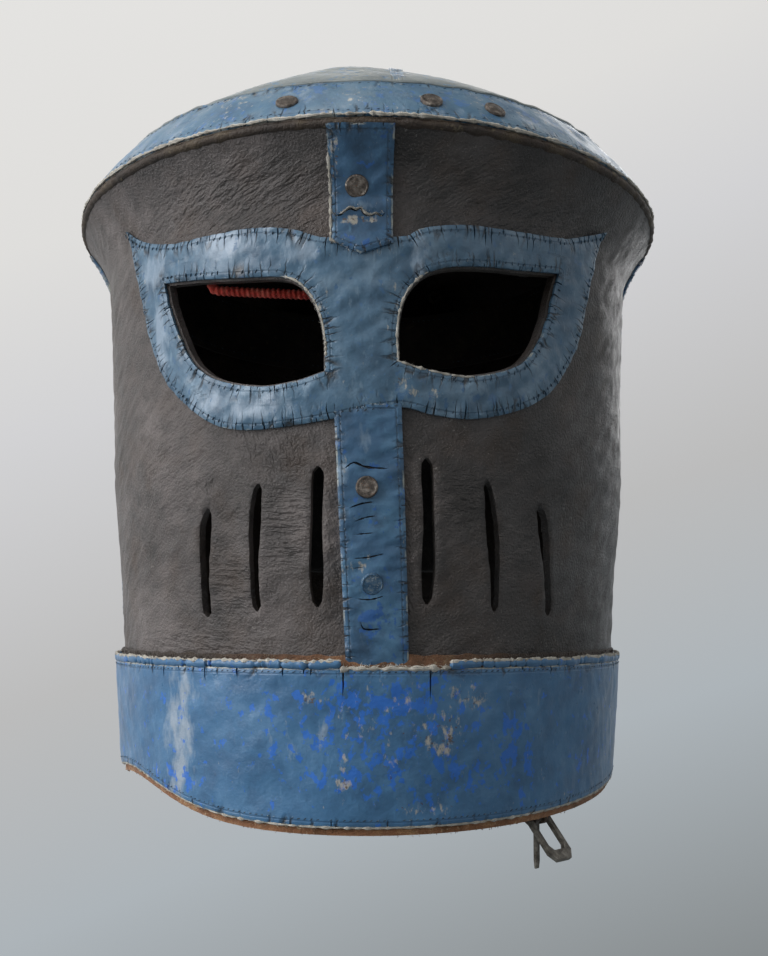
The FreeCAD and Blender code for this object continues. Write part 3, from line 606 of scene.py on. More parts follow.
# vegetable-tanned harness leather, dressed and worn: pebbled grain, painted light on its left side, painted shade on
# its right
def harnessLeather(name="harnessLeather", flesh=False):
    look = {"dust": "#7b7370", "mid": "#514c4a", "deep": "#2b2826", "brown": "#4b3a2c", "speck": "#a49e98",
            "grain": 1.0, "fold": 2.6, "patch": 34.0}
    if flesh:
        look.update(dust="#463a2f", mid="#352b23", deep="#1f1813", brown="#2d2118", speck="#55483b")
    material, tree, surface, place = newMaterial(name, 0.5)
    broad = mottle(tree, place, look["patch"], 0.3, 0.7)
    fine = mottle(tree, place, 7, 0.35, 0.7, seed=0.4)
    base = colours(tree, broad, [(0.0, look["deep"]), (0.5, look["mid"]), (1.0, look["dust"])])
    placeParts = addNode(tree, "SeparateXYZ", {}, {0: place})
    # painted light: the left side is painted paler, standing in for the light falling from the left
    side = addNode(tree, "MapRange", {"From Min": -0.07, "From Max": 0.02, "To Min": 1.0, "To Max": 0.0},
                   {"Value": placeParts})
    left = addNode(tree, "Math", {"operation": "MULTIPLY"}, {0: side, 1: fine})
    left = addNode(tree, "Math", {"operation": "MULTIPLY", 1: 0.55}, {0: left})
    # painted shade: the right side is painted darker, standing in for the shade away from the light
    right = addNode(tree, "MapRange", {"From Min": -0.01, "From Max": 0.06, "To Min": 0.0, "To Max": 0.62},
                    {"Value": placeParts})
    brown = addNode(tree, "Math", {"operation": "MULTIPLY", 1: 0.5},
                    {0: mottle(tree, place, 22, 0.5, 0.72, seed=0.9)})
    folds = mottle(tree, place, look["fold"], 0.3, 0.7, seed=0.2)
    creases = []
    for key, turn in (("slantCrease", -27), ("levelCrease", 3), ("riseCrease", 68)):
        mask = addNode(tree, "Attribute", {"attribute_name": key}).outputs["Fac"]
        lines = mottle(tree, place, 1.9, 0.35, 0.65, detail=2.0, seed=0.8, squeeze=(0.22, 0.4, 1.0),
                       turn=(0, math.radians(turn), 0))
        creases.append(addNode(tree, "Math", {"operation": "MULTIPLY"}, {0: lines, 1: mask}))
    pebble = addNode(tree, "TexVoronoi", {"feature": "SMOOTH_F1", "Scale": 1 / (look["grain"] * mm),
                                          "Smoothness": 0.6}, {"Vector": place})
    # pale specks: partly scuffs, partly painted glints of the grain
    speck = addNode(tree, "Math", {"operation": "MULTIPLY"},
                    {0: mottle(tree, place, 0.9, 0.62, 0.72, detail=2.0, seed=0.6),
                     1: mottle(tree, place, 26, 0.5, 0.62, seed=1.3)})
    speck = addNode(tree, "Math", {"operation": "MULTIPLY", 1: 0.6}, {0: speck})
    colour = over(tree, base, [(left, look["dust"]), (right, look["deep"]), (brown, look["brown"]),
                               (speck, look["speck"])])
    tree.links.new(next(s for s in colour.outputs if s.enabled), surface.inputs["Base Color"])
    height = addUp(tree, [(pebble, -0.55), (folds, 0.26), (mottle(tree, place, 0.45, 0.3, 0.7), 0.3)]
                   + [(crease, 1.0) for crease in creases])
    bump = addNode(tree, "Bump", {"Strength": 1.0, "Distance": 0.0006}, {"Height": height})
    tree.links.new(bump.outputs[0], surface.inputs["Normal"])
    rough = addNode(tree, "MapRange", {"To Min": 0.3, "To Max": 0.52}, {"Value": fine})
    tree.links.new(rough.outputs[0], surface.inputs["Roughness"])
    surface.inputs["Specular IOR Level"].default_value = 0.45
    return material


# leather under thick old paint: it crazes across its edges, chips to the pale ground and wears pale where rubbed; some
# pale patches are painted highlights and reflections
def paintedLeather(name, look):
    look = {"dark": "#2c4a60", "base": "#47708f", "light": "#6f93ad", "edge": "#b9bcb2", "crack": "#14181b",
            "cobalt": "#3583e6", "rubbedAndHighlight": "#b3c1ce", "chip": "#cfc8b8", "brown": "#5d4a3b", "wornWidth": 0.9,
            "crackPitch": 4.2, "crackReach": 7.0, "patch": 16.0, "cobaltEverywhere": 0.74, "roughness": 0.34,
            "wornPatch": 0.44, **look}
    material, tree, surface, place = newMaterial(name, look["roughness"])
    gap = addNode(tree, "Attribute", {"attribute_name": "edgeGap"}).outputs["Fac"]
    along = addNode(tree, "Attribute", {"attribute_name": "edgeRun"}).outputs["Fac"]
    masks = {key: addNode(tree, "Attribute", {"attribute_name": key}).outputs["Fac"]
             for key in ("cobaltWear", "paleWearAndHighlight", "chipWear")}
    broad = mottle(tree, place, look["patch"], 0.25, 0.75)
    base = colours(tree, broad, [(0.0, look["dark"]), (0.5, look["base"]), (1.0, look["light"])])
    run = addNode(tree, "Math", {"operation": "MULTIPLY", 1: 1 / look["crackPitch"]}, {0: along})
    inward = addNode(tree, "Math", {"operation": "MULTIPLY", 1: 0.03}, {0: gap})
    wobble = addNode(tree, "TexNoise", {"Scale": 1 / (3 * mm), "Detail": 2.0}, {"Vector": place})
    run = addNode(tree, "Math", {"operation": "MULTIPLY_ADD", 1: 0.3}, {0: wobble, 2: run})
    edgePlace = addNode(tree, "CombineXYZ", {}, {0: run, 1: inward})
    cells = addNode(tree, "TexVoronoi", {"feature": "DISTANCE_TO_EDGE", "Scale": 1.0, "Randomness": 0.9},
                    {"Vector": edgePlace})
    crackLine = addNode(tree, "MapRange", {"From Min": 0.0, "From Max": 0.055, "To Min": 1.0, "To Max": 0.0},
                        {"Value": cells})
    nearEdge = addNode(tree, "MapRange", {"From Min": look["crackReach"] * 0.4, "From Max": look["crackReach"],
                                          "To Min": 1.0, "To Max": 0.0}, {"Value": gap})
    patchy = mottle(tree, place, 9, 0.42, 0.56, seed=0.7)
    crack = addNode(tree, "Math", {"operation": "MULTIPLY"}, {0: crackLine, 1: nearEdge})
    crack = addNode(tree, "Math", {"operation": "MULTIPLY"}, {0: crack, 1: patchy})
    ragged = addNode(tree, "TexNoise", {"Scale": 1 / (1.6 * mm), "Detail": 5.0, "Roughness": 0.7},
                     {"Vector": place})
    edgeLevel = addNode(tree, "Math", {"operation": "MULTIPLY_ADD", 1: -1 / look["wornWidth"], 2: 1.28},
                        {0: gap})
    edgeMix = addNode(tree, "Math", {"operation": "ADD"}, {0: edgeLevel, 1: ragged})
    worn = addNode(tree, "MapRange", {"From Min": 1.05, "From Max": 1.2}, {"Value": edgeMix})
    worn = addNode(tree, "Math", {"operation": "MULTIPLY"},
                   {0: worn, 1: mottle(tree, place, 7, look["wornPatch"], look["wornPatch"] + 0.15, seed=2.9)})
    groove = addNode(tree, "Math", {"operation": "SUBTRACT", 1: 1.9}, {0: gap})
    groove = addNode(tree, "Math", {"operation": "ABSOLUTE"}, {0: groove})
    groove = addNode(tree, "MapRange", {"From Min": 0.12, "From Max": 0.42, "To Min": 0.62, "To Max": 0.0},
                     {"Value": groove})
    layers = [(mottle(tree, place, 3.2, 0.6, 0.8, seed=0.3, squeeze=(1, 1, 0.35)), look["light"]),
              (mottle(tree, place, 12, 0.55, 0.75, seed=0.8), look["dark"])]
    # pale patches: rubbed paint, and in places painted highlights and reflections
    for key, colour, low, soft, weight, size, tall in (
            ("paleWearAndHighlight", look["rubbedAndHighlight"], 0.66, 0.24, 0.3, 5.0, 2.5),
            ("cobaltWear", look["cobalt"], 0.62, 0.035, 0.15, 3.8, 1.3),
            ("chipWear", look["chip"], 0.665, 0.12, 0.18, 2.2, 1.8),
            ("chipWear", look["brown"], 0.71, 0.08, 0.15, 1.6, 1.0)):
        spot = addNode(tree, "TexNoise", {"Scale": 1 / (size * mm), "Detail": 6.0, "Roughness": 0.62},
                       {"Vector": addNode(tree, "Mapping", {"Location": (low, low, low), "Scale": (1, 1, 1 / tall)},
                                          {"Vector": place})})
        raised = addNode(tree, "Math", {"operation": "MULTIPLY_ADD", 1: weight}, {0: masks[key], 2: spot})
        layers.append((addNode(tree, "MapRange", {"From Min": low, "From Max": low + soft, "To Max": 0.85},
                               {"Value": raised}), colour))
    stray = mottle(tree, place, 4.5, look["cobaltEverywhere"], look["cobaltEverywhere"] + 0.04, detail=3, seed=1.9)
    specks = mottle(tree, place, 1.8, 0.77, 0.8, detail=3, seed=2.3)
    layers += [(stray, look["cobalt"]), (specks, look["chip"]), (groove, look["dark"]), (worn, look["edge"]),
               (crack, look["crack"])]
    colour = over(tree, base, layers)
    tree.links.new(next(s for s in colour.outputs if s.enabled), surface.inputs["Base Color"])
    creases = mottle(tree, place, 1.4, 0.3, 0.7, detail=6, seed=0.1)
    height = addUp(tree, [(crack, -2.2), (groove, -0.9), (creases, 0.28), (worn, -0.5), (stray, -0.2),
                          (mottle(tree, place, 6, 0.3, 0.7, seed=1.1), 0.8)])
    bump = addNode(tree, "Bump", {"Strength": 0.7, "Distance": 0.0003}, {"Height": height})
    tree.links.new(bump.outputs[0], surface.inputs["Normal"])
    rough = addNode(tree, "MapRange", {"To Min": look["roughness"] - 0.08, "To Max": look["roughness"] + 0.2},
                    {"Value": mottle(tree, place, 8, 0.3, 0.7, seed=0.5)})
    tree.links.new(rough.outputs[0], surface.inputs["Roughness"])
    surface.inputs["Coat Weight"].default_value = 0.25
    surface.inputs["Coat Roughness"].default_value = 0.3
    return material


# smaller finishes: a mottled colour between three hexes, with a grain of one size
def plainFinish(name, look):
    material, tree, surface, place = newMaterial(name, look["roughness"])
    broad = mottle(tree, place, look["patch"], 0.3, 0.7, detail=5)
    base = colours(tree, broad, [(0.0, look["dark"]), (0.5, look["base"]), (1.0, look["light"])])
    layers = [(mottle(tree, place, look["patch"] / 4, 0.6, 0.7, seed=0.7), look["fleck"])]
    # the suede is darker on the ledge above the band top, less so in the middle of the front
    if "ledgeDarkening" in look:
        part = addNode(tree, "SeparateXYZ", {}, {0: place})
        height = addNode(tree, "MapRange", {"From Min": -0.25, "From Max": -0.23, "To Max": 0.95},
                         {"Value": part.outputs[2]})
        aside = addNode(tree, "Math", {"operation": "ABSOLUTE"}, {0: part.outputs[0]})
        aside = addNode(tree, "MapRange", {"From Min": 0.01, "From Max": 0.055, "To Min": 0.35, "To Max": 1.0},
                        {"Value": aside})
        ledgeDarkening = addNode(tree, "Math", {"operation": "MULTIPLY"}, {0: height, 1: aside})
        layers.append((ledgeDarkening, look["ledgeDarkening"]))
    colour = over(tree, base, layers)
    tree.links.new(next(s for s in colour.outputs if s.enabled), surface.inputs["Base Color"])
    grain = mottle(tree, place, look["grain"], 0.3, 0.7, detail=3, squeeze=look.get("squeeze", (1, 1, 1)))
    bump = addNode(tree, "Bump", {"Strength": look.get("relief", 0.5), "Distance": 0.0003}, {"Height": grain})
    tree.links.new(bump.outputs[0], surface.inputs["Normal"])
    rough = addNode(tree, "MapRange", {"To Min": look["roughness"] - 0.1, "To Max": look["roughness"] + 0.12},
                    {"Value": grain})
    tree.links.new(rough.outputs[0], surface.inputs["Roughness"])
    surface.inputs["Metallic"].default_value = look.get("metallic", 0.0)
    surface.inputs["Sheen Weight"].default_value = look.get("sheen", 0.0)
    return material


leatherFace = harnessLeather()
leatherFlesh = harnessLeather("fleshSide", flesh=True)
paintGoggle = paintedLeather("paintedTrimLeather", {
    "dark": "#375871", "base": "#52758f", "light": "#86a1b6", "wornWidth": 0.6, "wornPatch": 0.56,
    "cobalt": "#466f96", "rubbedAndHighlight": "#9db1c4"})
paintStrip = paintedLeather("paintedStripLeather", {
    "dark": "#26455f", "base": "#3f6789", "light": "#5c8aab", "crackPitch": 6.0, "crackReach": 4.0, "wornPatch": 0.5,
    "cobalt": "#2c63a8", "rubbedAndHighlight": "#8fa8bd"})
paintChin = paintedLeather("paintedBandLeather", {
    "dark": "#3b678e", "base": "#4b7ea9", "light": "#6492ba", "crackPitch": 9.0, "crackReach": 4.0,
    "cobalt": "#2f7ade", "cobaltEverywhere": 0.72, "wornWidth": 0.8, "wornPatch": 0.3})
paintBrow = paintedLeather("paintedBrowLeather", {
    "dark": "#3d6484", "base": "#557e9b", "light": "#7d93a2", "cobaltEverywhere": 0.68, "crackPitch": 7.0,
    "cobalt": "#4478b0", "rubbedAndHighlight": "#9db1c4"})
crownFinish = paintedLeather("limedCrownLeather", {
    "dark": "#697272", "base": "#838c8d", "light": "#a6aba6", "cobalt": "#4d7fa6", "chip": "#dcd8cc",
    "cobaltEverywhere": 0.66, "edge": "#cfcabd", "roughness": 0.5})
weltFinish = plainFinish("weltLeather", {  # rolled belly leather, greasy and dark where it is handled
    "dark": "#261f1a", "base": "#3d3127", "light": "#5f523f", "fleck": "#756a55", "patch": 14.0, "grain": 0.8,
    "roughness": 0.6, "relief": 0.9})
suedeFinish = plainFinish("suedeSplit", {  # the split's fuzzy face: rust brown, soft, no gloss
    "dark": "#74502f", "base": "#a87450", "light": "#c79a6c", "fleck": "#dcc09b", "patch": 6.0, "grain": 0.6,
    "roughness": 0.85, "relief": 0.9, "sheen": 0.3, "ledgeDarkening": "#2e2822"})
frayFinish = plainFinish("frayedGrain", {  # torn fibres of the limed grain, chalky
    "dark": "#8f8a80", "base": "#c9c3b6", "light": "#e6e1d6", "fleck": "#7f95a8", "patch": 4.0, "grain": 0.5,
    "roughness": 0.8})
threadFinish = plainFinish("waxedThread", {  # linen thread painted over with the leather, dark with wax
    "dark": "#17252f", "base": "#2b4355", "light": "#5d7a8c", "fleck": "#9fb0ba", "patch": 7.0, "grain": 0.4,
    "roughness": 0.6})
rivetFinish = plainFinish("oxidisedRivetSteel", {  # tinned steel, dulled and freckled with rust
    "dark": "#36322f", "base": "#5d5650", "light": "#938b82", "fleck": "#6e4a33", "patch": 2.2, "grain": 0.5,
    "roughness": 0.42, "metallic": 0.75})
rivetPainted = plainFinish("paintedRivetSteel", {  # the same rivet under blue paint, rubbed through at its rim
    "dark": "#26435c", "base": "#3c617f", "light": "#7f8f99", "fleck": "#b9b6ad", "patch": 2.0, "grain": 0.6,
    "roughness": 0.4, "metallic": 0.25})
buckleFinish = plainFinish("dulledBuckleSteel", {  # pressed steel, grey brown with old grease in its corners
    "dark": "#3b3833", "base": "#6b675f", "light": "#928d84", "fleck": "#54402f", "patch": 3.0, "grain": 0.4,
    "roughness": 0.45, "metallic": 0.7})
strapFinish = plainFinish("strapLeather", {  # bridle leather, dark brown with a waxed surface
    "dark": "#241b15", "base": "#3d2e23", "light": "#5b4736", "fleck": "#6d5641", "patch": 9.0, "grain": 0.8,
    "roughness": 0.5})
liningFinish = plainFinish("liningLeather", {  # sheepskin skiver, nearly black with sweat
    "dark": "#15120f", "base": "#241e19", "light": "#3a3129", "fleck": "#4a3f35", "patch": 12.0, "grain": 0.9,
    "roughness": 0.6})
feltFinish = plainFinish("pressedFelt", {  # grey-black wool felt, matted
    "dark": "#141313", "base": "#211f1e", "light": "#34312f", "fleck": "#47423e", "patch": 5.0, "grain": 0.5,
    "roughness": 0.95, "relief": 0.9, "sheen": 0.3})
cordFinish = plainFinish("redBraidedCord", {  # dyed cotton, faded on its ridges
    "dark": "#b82a20", "base": "#ee4c3a", "light": "#ff8670", "fleck": "#ffa592", "patch": 3.0, "grain": 0.35,
    "roughness": 0.75, "relief": 0.8, "sheen": 0.2})
print("materials made")


# the face and back of the shell
seamTurn = math.acos(-form["seam"] / (form["ratio"] * form["halfWidth"]))
seamX = float(np.interp(seamTurn, turns, runs))
eyeLeft = {"corners": (0, 7), "points": [
    (-71.5, -82.5), (-57.9, -84.6), (-42.4, -86.9), (-26.0, -88.7), (-19.7, -92.2), (-14.6, -100.4),
    (-12.4, -111.1), (-12.4, -122.6), (-23.3, -125.4), (-35.9, -126.1), (-52.7, -121.1), (-61.4, -113.1),
    (-66.6, -101.9), (-69.9, -91.7)]}
eyeRight = {"corners": (0, 7), "points": [
    (73.2, -84.0), (58.3, -85.2), (46.8, -85.3), (32.1, -86.4), (23.1, -89.3), (16.2, -96.4),
    (13.1, -106.6), (12.7, -119.6), (23.9, -123.0), (38.1, -124.7), (55.1, -120.0), (62.5, -112.7),
    (67.9, -101.7), (70.3, -93.1)]}
goggle = {"corners": (0, 13), "thick": 1.6, "points": [
    (-88.7, -57.2), (-81.0, -63.5), (-67.7, -68.8), (-51.4, -69.7), (-34.4, -70.3), (-21.9, -72.4),
    (-11.5, -75.9), (16.5, -76.1), (21.8, -73.4), (36.1, -71.5), (54.6, -71.6), (74.8, -70.8),
    (86.0, -67.0), (94.6, -63.4), (89.9, -74.2), (85.4, -89.5), (81.9, -103.7), (76.4, -116.2),
    (66.9, -128.6), (54.6, -135.9), (37.6, -139.6), (23.4, -138.1), (13.0, -135.6), (-11.4, -139.1),
    (-25.5, -140.7), (-39.9, -140.9), (-51.2, -138.3), (-62.9, -129.7), (-73.1, -117.3), (-79.4, -100.3),
    (-82.1, -83.8), (-85.3, -68.3)]}
# the pale spots on the goggle trim are partly rubbed paint, partly painted highlights
goggleWearAndHighlights = {
    "paleWearAndHighlight": [(-52, -76, 9, 6, 1.7), (-80, -78, 6, 9, 1.2), (-76, -104, 5, 16, 1.1), (-38, -134, 14, 5, 1.0),
                 (-24, -80, 8, 6, 1.2), (-60, -130, 8, 5, 1.1), (18, -84, 4, 16, 0.8), (30, -136, 14, 3, 0.3)],
    "cobaltWear": [(80, -80, 8, 8, 0.4), (40, -132, 20, 6, 0.3)],
    "chipWear": [(12, -127, 4, 2.5, 1.0), (9, -100, 3, 20, 0.6), (-16, -100, 3, 10, 0.5), (22, -131, 10, 3, 0.7)]}
eyeLines = [traced(flat(eye["points"]), eye["corners"]) for eye in (eyeLeft, eyeRight)]
goggleLine = traced(flat(goggle["points"]), goggle["corners"])
# breathing slits: x at the top and bottom, heights of both, a bow in the middle, width
slits = [(-17.2, -17.4, -155.5, -204.0, -0.5, 4.9), (-38.4, -38.9, -161.0, -205.5, -0.9, 4.4),
         (-57.0, -57.4, -169.0, -207.5, -1.1, 5.2), (20.3, 20.4, -152.5, -203.0, 0.6, 4.8),
         (42.2, 44.4, -160.0, -205.5, 0.7, 4.8), (62.6, 65.6, -167.5, -207.0, 0.6, 4.8)]


# a slit with round ends, bowed and a little uneven, as cut by hand and pulled open
def slitLine(top, bottom, high, low, bow, width):
    share = np.linspace(0, 1, 26)
    xs = top + (bottom - top) * share + bow * np.sin(share * math.pi)
    ys = high + (low - high) * share
    middle = np.column_stack([flatX(xs, ys), ys])
    half = width / 2 * np.clip(np.sin(share * math.pi), 0.0, 1) ** 0.16 * (1 + 0.14 * np.sin(share * 8 + top))
    half = np.maximum(half, 0.5)
    normal = sideways(middle, False)
    return np.vstack([middle + normal * half[:, None], (middle - normal * half[:, None])[::-1]])


slitLines = [slitLine(*slit) for slit in slits]
faceLook = {"step": 1.5, "thick": 4.0, "dent": 0.7, "fold": 0.22, "lip": 1.5, "mostSwell": 2.2, "browCrease": 0.4,
            "slitReach": 5.5, "calmBelow": -240.0}
# spots of wear: x, height, half width, half height and strength of each, seen from the front
faceWear = {
    "slantCrease": [(-45, -62, 40, 18, 1.0), (48, -60, 40, 16, 0.7), (-70, -150, 18, 26, 0.5)],
    "levelCrease": [(-28, -176, 10, 18, 1.1), (-48, -196, 14, 14, 0.8), (31, -166, 11, 12, 1.0),
                    (-60, -216, 30, 6, 0.8), (52, -185, 9, 16, 0.5)],
    "riseCrease": [(-36, -150, 16, 12, 0.9), (-58, -163, 9, 8, 1.1), (-84, -160, 10, 44, 0.8),
                   (14, -180, 4, 34, 0.8), (-14, -180, 4, 34, 0.7)]}
backLook = {"step": 2.0, "sag": 0.6, "ripple": 0.16}


# how the old face has gone out of true: broad dents, slack between the slits, creases up to the eyes
def faceSwell(x, y):
    swell = faceLook["dent"] * waves(x, y, 70, 21)
    swell += faceLook["fold"] * waves(x, y, 5.5, 22, stretch=4.0, heading=math.radians(28))
    for line in slitLines:
        centre, low, high = line[:, 0].mean(), line[:, 1].min(), line[:, 1].max()
        near = np.exp(-((x - centre) / faceLook["slitReach"]) ** 2)
        inside = np.clip((y - low + 6) / 12, 0, 1) * np.clip((high + 6 - y) / 12, 0, 1)
        swell += faceLook["lip"] * near * inside * np.where(centre < 0, 1.0, 0.8)
    top = np.clip((y + 75) / 30, 0, 1)
    swell -= faceLook["browCrease"] * top * np.abs(waves(x, y, 9, 25, stretch=3.0, heading=math.radians(40)))
    calm = np.clip((rimAt(x) - y) / 12, 0, 1) * np.clip((y - faceLook["calmBelow"]) / 10, 0, 1)
    return np.minimum(swell, faceLook["mostSwell"]) * calm


def makeFace():
    piece = sheet("faceLeather", -seamX, seamX, hemAt, lambda x: rimAt(x) - 0.6, faceLook["step"],
                  -faceLook["thick"], faceLook["thick"])
    openings = [inset(line, 0.7) for line in eyeLines] + slitLines
    cut(piece, openings)
    gap = nameEdges(piece, openings)
    share = wrap(piece, onWall, -faceLook["thick"], faceLook["thick"], faceSwell, gap, 0.7)
    paintSpots(piece, faceWear)
    finish(piece, [leatherFace, leatherFlesh], "harness_leather", ["face_shell"])
    fleshSide(piece, share)


# stores each kind of wear, and the painted highlights and reflections, as soft spots on the front of a piece
def paintSpots(piece, wearAndHighlights):
    place = coordsOf(piece) / mm
    for name, spots in wearAndHighlights.items():
        total = np.zeros(len(place))
        for x, y, wide, tall, strength in spots:
            reach = ((place[:, 0] - x) / wide) ** 2 + ((place[:, 2] - y) / tall) ** 2
            total = np.maximum(total, strength * np.clip(1.25 - reach, 0, 1) * (place[:, 1] < 0))
        setAttribute(piece, name, total)


# faces on the inside of a layer take the second material
def fleshSide(piece, share):
    corner = np.array([share[list(face.vertices)].max() < 0.5 for face in piece.data.polygons])
    piece.data.polygons.foreach_set("material_index", corner.astype(np.int32))
    piece.data.update()


def makeBack():
    piece = sheet("backLeather", seamX + 0.3, 2 * halfGirth - seamX - 0.3,
                  lambda x: hemAt(wrapped(x)), lambda x: rimAt(wrapped(x)) - 0.6, backLook["step"],
                  -faceLook["thick"], faceLook["thick"])
    nothing = [np.array([[seamX, -40.0], [seamX, -250.0]])]
    gap = nameEdges(piece, nothing)
    share = wrap(piece, lambda x, y, d: onWall(wrapped(x), y, d), -faceLook["thick"], faceLook["thick"],
                 lambda x, y: backLook["sag"] * waves(x, y, 60, 31) * np.clip((rimAt(wrapped(x)) - y) / 12, 0, 1)
                 + backLook["ripple"] * waves(x, y, 6, 32, stretch=3), gap)
    finish(piece, [leatherFace, leatherFlesh], "harness_leather", ["back_shell"])
    fleshSide(piece, share)


# a distance round the form that may run past the middle of the back
def wrapped(x):
    return (np.asarray(x, float) + halfGirth) % (2 * halfGirth) - halfGirth


def aroundBack(shape):
    return lambda x, y, depth: shape(wrapped(x), y, depth)


makeFace()
makeBack()
print("shell made")


# the goggle trim and the strips
def crackPlaces(outline, pitch, seed, longest, skip=0.25):
    draw = np.random.default_rng(seed)
    step = np.linalg.norm(outline[1] - outline[0])
    places = np.arange(4, len(outline) - 4, max(2, pitch / step)) + draw.normal(0, 0.9, len(
        np.arange(4, len(outline) - 4, max(2, pitch / step))))
    places = np.unique(np.clip(places.round().astype(int), 0, len(outline) - 1))
    places = places[draw.random(len(places)) > skip]
    return places, draw.uniform(0.3, 1, len(places)) ** 1.4 * longest


def makeGoggle():
    base, thick = 0.05, goggle["thick"]
    piece = sheet("goggleTrim", goggleLine[:, 0].min() - 2, goggleLine[:, 0].max() + 2, level(-144.0),
                  level(-52.0), 1.15, base, thick)
    cut(piece, [goggleLine], "INTERSECT")
    cut(piece, eyeLines)
    outer = crackPlaces(goggleLine, 3.9, 41, 7.5, 0.15)
    cut(piece, notches(goggleLine, *outer, 0.6, seed=42))
    for number, line in enumerate(eyeLines):
        inner = crackPlaces(line, 5.0, 43 + number, 4.5)
        cut(piece, notches(line, *inner, 0.5, inwards=-1.0, seed=45 + number))
    gap = nameEdges(piece, [goggleLine] + eyeLines)
    seams = [inset(goggleLine, 1.9)] + [inset(line, -1.9) for line in eyeLines]

    def swell(x, y):
        return (faceSwell(x, y) + 0.18 * waves(x, y, 8, 51) + 0.1 * waves(x, y, 3.5, 52)
                - 0.25 * np.exp(-((gap - 1.9) / 0.5) ** 2))
    wrap(piece, onWall, base, thick, swell, gap, 0.55)
    paintSpots(piece, goggleWearAndHighlights)
    finish(piece, paintGoggle, "blue_leather", ["goggle_trim"])
    swollen = lambda x, y, d: onWall(x, y, d + faceSwell(x, y))
    thread = stitching("goggleStitching", swollen, seams, base + thick - 0.1, turned=1.25, length=1.7, width=0.42)
    finish(thread, threadFinish, "blue_leather")
    lips = [roll("lip", swollen, np.vstack([inset(line, -0.25)[a:b]]), base + thick * 0.75, 0.42, 0.42, 6,
                 seed=60 + i, rough=0.6, pitch=1.6)
            for i, (line, a, b) in enumerate(((eyeLines[0], 58, 98), (eyeLines[1], 62, 112),
                                              (eyeLines[1], 112, 132)))]
    frays = [fibres("fray", swollen, inset(line, -0.2)[a:b], base + thick * 0.7, count, 2.4, 70 + i)
             for i, (line, a, b, count) in enumerate(((eyeLines[0], 66, 104, 90), (eyeLines[1], 66, 118, 80)))]
    finish(joined("goggleFray", lips + frays), frayFinish, "suede")


# the wall with the face's own dents
def swollenWall(x, y, depth):
    return onWall(x, y, depth + faceSwell(np.asarray(x, float), np.asarray(y, float)))


foreheadStrip = {"left": -12.7, "right": 7.9, "tip": (-2.6, -82.4), "low": (-77.6, -78.4), "thick": 1.6, "tear": [
    (-12.0, -69.0), (-9.4, -68.7), (-7.4, -67.4), (-5.8, -66.5), (-4.0, -67.2), (-2.6, -66.7), (-1.0, -68.4),
    (1.0, -68.9), (2.6, -68.2), (4.4, -68.9), (5.6, -68.0)], "crack": [(-5.2, -40.9), (-2.9, -40.3), (-0.8, -40.9)]}
foreheadWear = {"chipWear": [(-3, -70.3, 8, 2.0, 1.3), (-12, -50, 2, 14, 0.9)],
                "cobaltWear": [(-3, -78, 9, 4, 0.4)],
                "paleWearAndHighlight": [(-4, -65.5, 8, 2, 0.5)]}
noseStrip = {"topLeft": -11.7, "topRight": 11.3, "bottomLeft": -7.8, "bottomRight": 14.8, "top": -134.0,
             "bottom": -226.5, "thick": 1.6, "cracks": [
                 ([(-8.0, -156.6), (-5.0, -154.6), (-1.0, -156.0), (6.5, -156.6)], 0.75),
                 ([(-6.2, -170.0), (-2.0, -168.6), (2.1, -168.0)], 0.6),
                 ([(-4.8, -174.8), (-1.0, -173.4), (2.7, -172.8)], 0.5), ([(-4.5, -179.2), (2.1, -178.6)], 0.4),
                 ([(-4.8, -187.4), (0.0, -187.0), (5.5, -185.8)], 0.5), ([(-5.5, -190.8), (-1.0, -190.3)], 0.35),
                 ([(-3.8, -201.2), (1.0, -201.4), (5.5, -200.2)], 0.5),
                 ([(-2.6, -209.0), (-1.6, -211.4), (4.2, -211.5)], 0.6)]}
noseWear = {"chipWear": [(-2, -183, 4, 5, 0.5), (-4, -190, 4, 2, 0.7), (-9, -175, 2.4, 40, 0.45)],
            "cobaltWear": [(3, -208, 8, 10, 0.75), (0, -170, 6, 6, 0.4)],
            "paleWearAndHighlight": [(-8, -158, 3, 5, 0.9), (-1, -145, 3, 8, 0.5)]}


